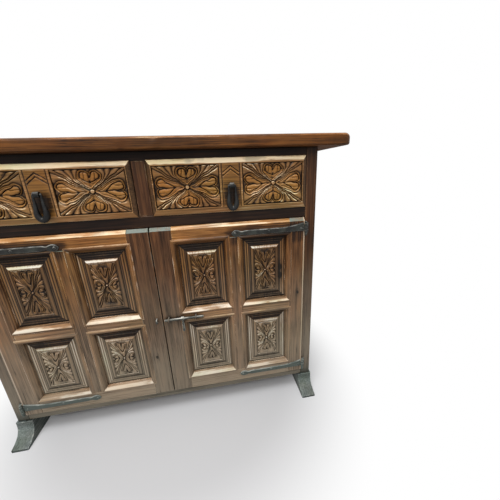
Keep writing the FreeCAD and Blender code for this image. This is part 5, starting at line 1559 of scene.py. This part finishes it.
# %% Straps
STRAP_LEVELS, STRAP_THICKNESS = (621.5, 117.5), 3.0
KNUCKLE_RADIUS, KNUCKLE_BORE, KNUCKLE_HALF, KNUCKLE_ROUNDING = 4.5, 2.26, 5.0, 0.8
KNUCKLE_SHOULDER, KNUCKLE_WALL = KNUCKLE_RADIUS - KNUCKLE_ROUNDING, KNUCKLE_HALF - KNUCKLE_ROUNDING
KNUCKLE_OUTLINE = (
    (KNUCKLE_BORE, -KNUCKLE_HALF), (KNUCKLE_SHOULDER, -KNUCKLE_HALF), (KNUCKLE_RADIUS, -KNUCKLE_WALL),
    (KNUCKLE_RADIUS, KNUCKLE_WALL), (KNUCKLE_SHOULDER, KNUCKLE_HALF), (KNUCKLE_BORE, KNUCKLE_HALF),
)
BARREL_SIDES = 28


def turned_ring(points, faces, axis, outline):
    """Add a ring turned about an upright axis; outline is a closed row of (radius, height) in mm."""
    first, count = len(points), len(outline)
    for step in range(BARREL_SIDES):
        angle = 2 * math.pi * step / BARREL_SIDES
        for radius, height in outline:
            out = Vector((math.cos(angle), math.sin(angle), 0)) * radius * MM
            points.append(tuple(axis + out + Vector((0, 0, height * MM))))
    for step in range(BARREL_SIDES):
        here, there = first + step * count, first + (step + 1) % BARREL_SIDES * count
        for corner in range(count):
            after = (corner + 1) % count
            faces.append((here + corner, there + corner, there + after, here + after))


def door_straps(side, hand, dice):
    """Both straps of a door, each with its knuckle."""
    node = f"{side}_door_straps"
    door_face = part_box(f"{side}_door_lock_stile")[0].y
    plate = (door_face - STRAP_THICKNESS * MM, door_face)
    hinge_x, hinge_y, _ = JOINTS[f"{side}_door_swing"]["pos_m"]
    points, faces = [], []
    for level in STRAP_LEVELS:
        axis = Vector((hinge_x, hinge_y, level * MM))
        for outline in (STRAP_OUTLINE, WRAP_OUTLINE):
            skin(points, faces, strap_rows(outline, hand, axis, plate, dice), flipped=hand > 0)
        turned_ring(points, faces, axis, KNUCKLE_OUTLINE)
    piece = finish_mesh(f"forged_{node}", points, faces, [irons["black_iron"]])
    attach(piece, f"{side}_door")
    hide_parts(node)
    return piece


dice = np.random.default_rng(RNG_SEED)
for side, hand in HANDS.items():
    made = door_straps(side, hand, dice)
    print(made.name, len(made.data.polygons), "faces")

# %% [markdown]
# ## Drop pulls
#
# A bail is one rod, thin where its ends turn into the post's hole and fat at the bottom where the fingers
# go. Sweeping a round section along a curve is the usual way. Here the rings are placed one by one, because
# the rod changes its thickness on the way round.

# %% Bails
BAIL_PATH = (
    (2.6, 0.0, 1.95), (6.4, 0.0, 1.95), (7.6, -0.1, 2.1), (8.7, -0.6, 2.4), (9.2, -2.2, 2.6),
    (9.2, -6.0, 2.7), (9.1, -14.0, 3.0), (9.4, -24.0, 3.9), (10.2, -34.0, 5.1), (10.8, -43.0, 6.4),
    (10.2, -50.0, 7.2), (8.2, -55.2, 7.3), (5.7, -58.8, 7.2), (3.0, -61.1, 7.0), (0.0, -61.8, 7.0),
)
BAIL_SIDES = 16


def bail_rows(middle):
    """Rings along a bail, from one pin round the loop to the other."""
    one_side = np.array(BAIL_PATH)
    other_side = one_side[-2::-1] * (-1, 1, 1)
    path = np.concatenate([one_side, other_side])
    ways = np.gradient(path[:, :2], axis=0)
    rows = []
    for (x, z, radius), way in zip(path, ways):
        outward = np.array((-way[1], way[0])) / np.linalg.norm(way)
        ring = []
        for step in range(BAIL_SIDES):
            angle = 2 * math.pi * step / BAIL_SIDES
            reach = radius * math.cos(angle)
            offset = Vector((x + outward[0] * reach, radius * math.sin(angle), z + outward[1] * reach))
            ring.append(middle + offset * MM)
        rows.append(ring)
    return rows


def pull_bail(side):
    """One bail, hung in its post's hole."""
    node = f"{side}_pull_bail"
    middle = Vector(JOINTS[f"{side}_pull_swing"]["pos_m"])
    points, faces = [], []
    skin(points, faces, bail_rows(middle))
    piece = finish_mesh(f"forged_{node}", points, faces, [irons["pull_iron"]])
    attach(piece, f"{side}_pull")
    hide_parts(node)
    return piece


for side in SIDES:
    made = pull_bail(side)
    print(made.name, len(made.data.polygons), "faces")
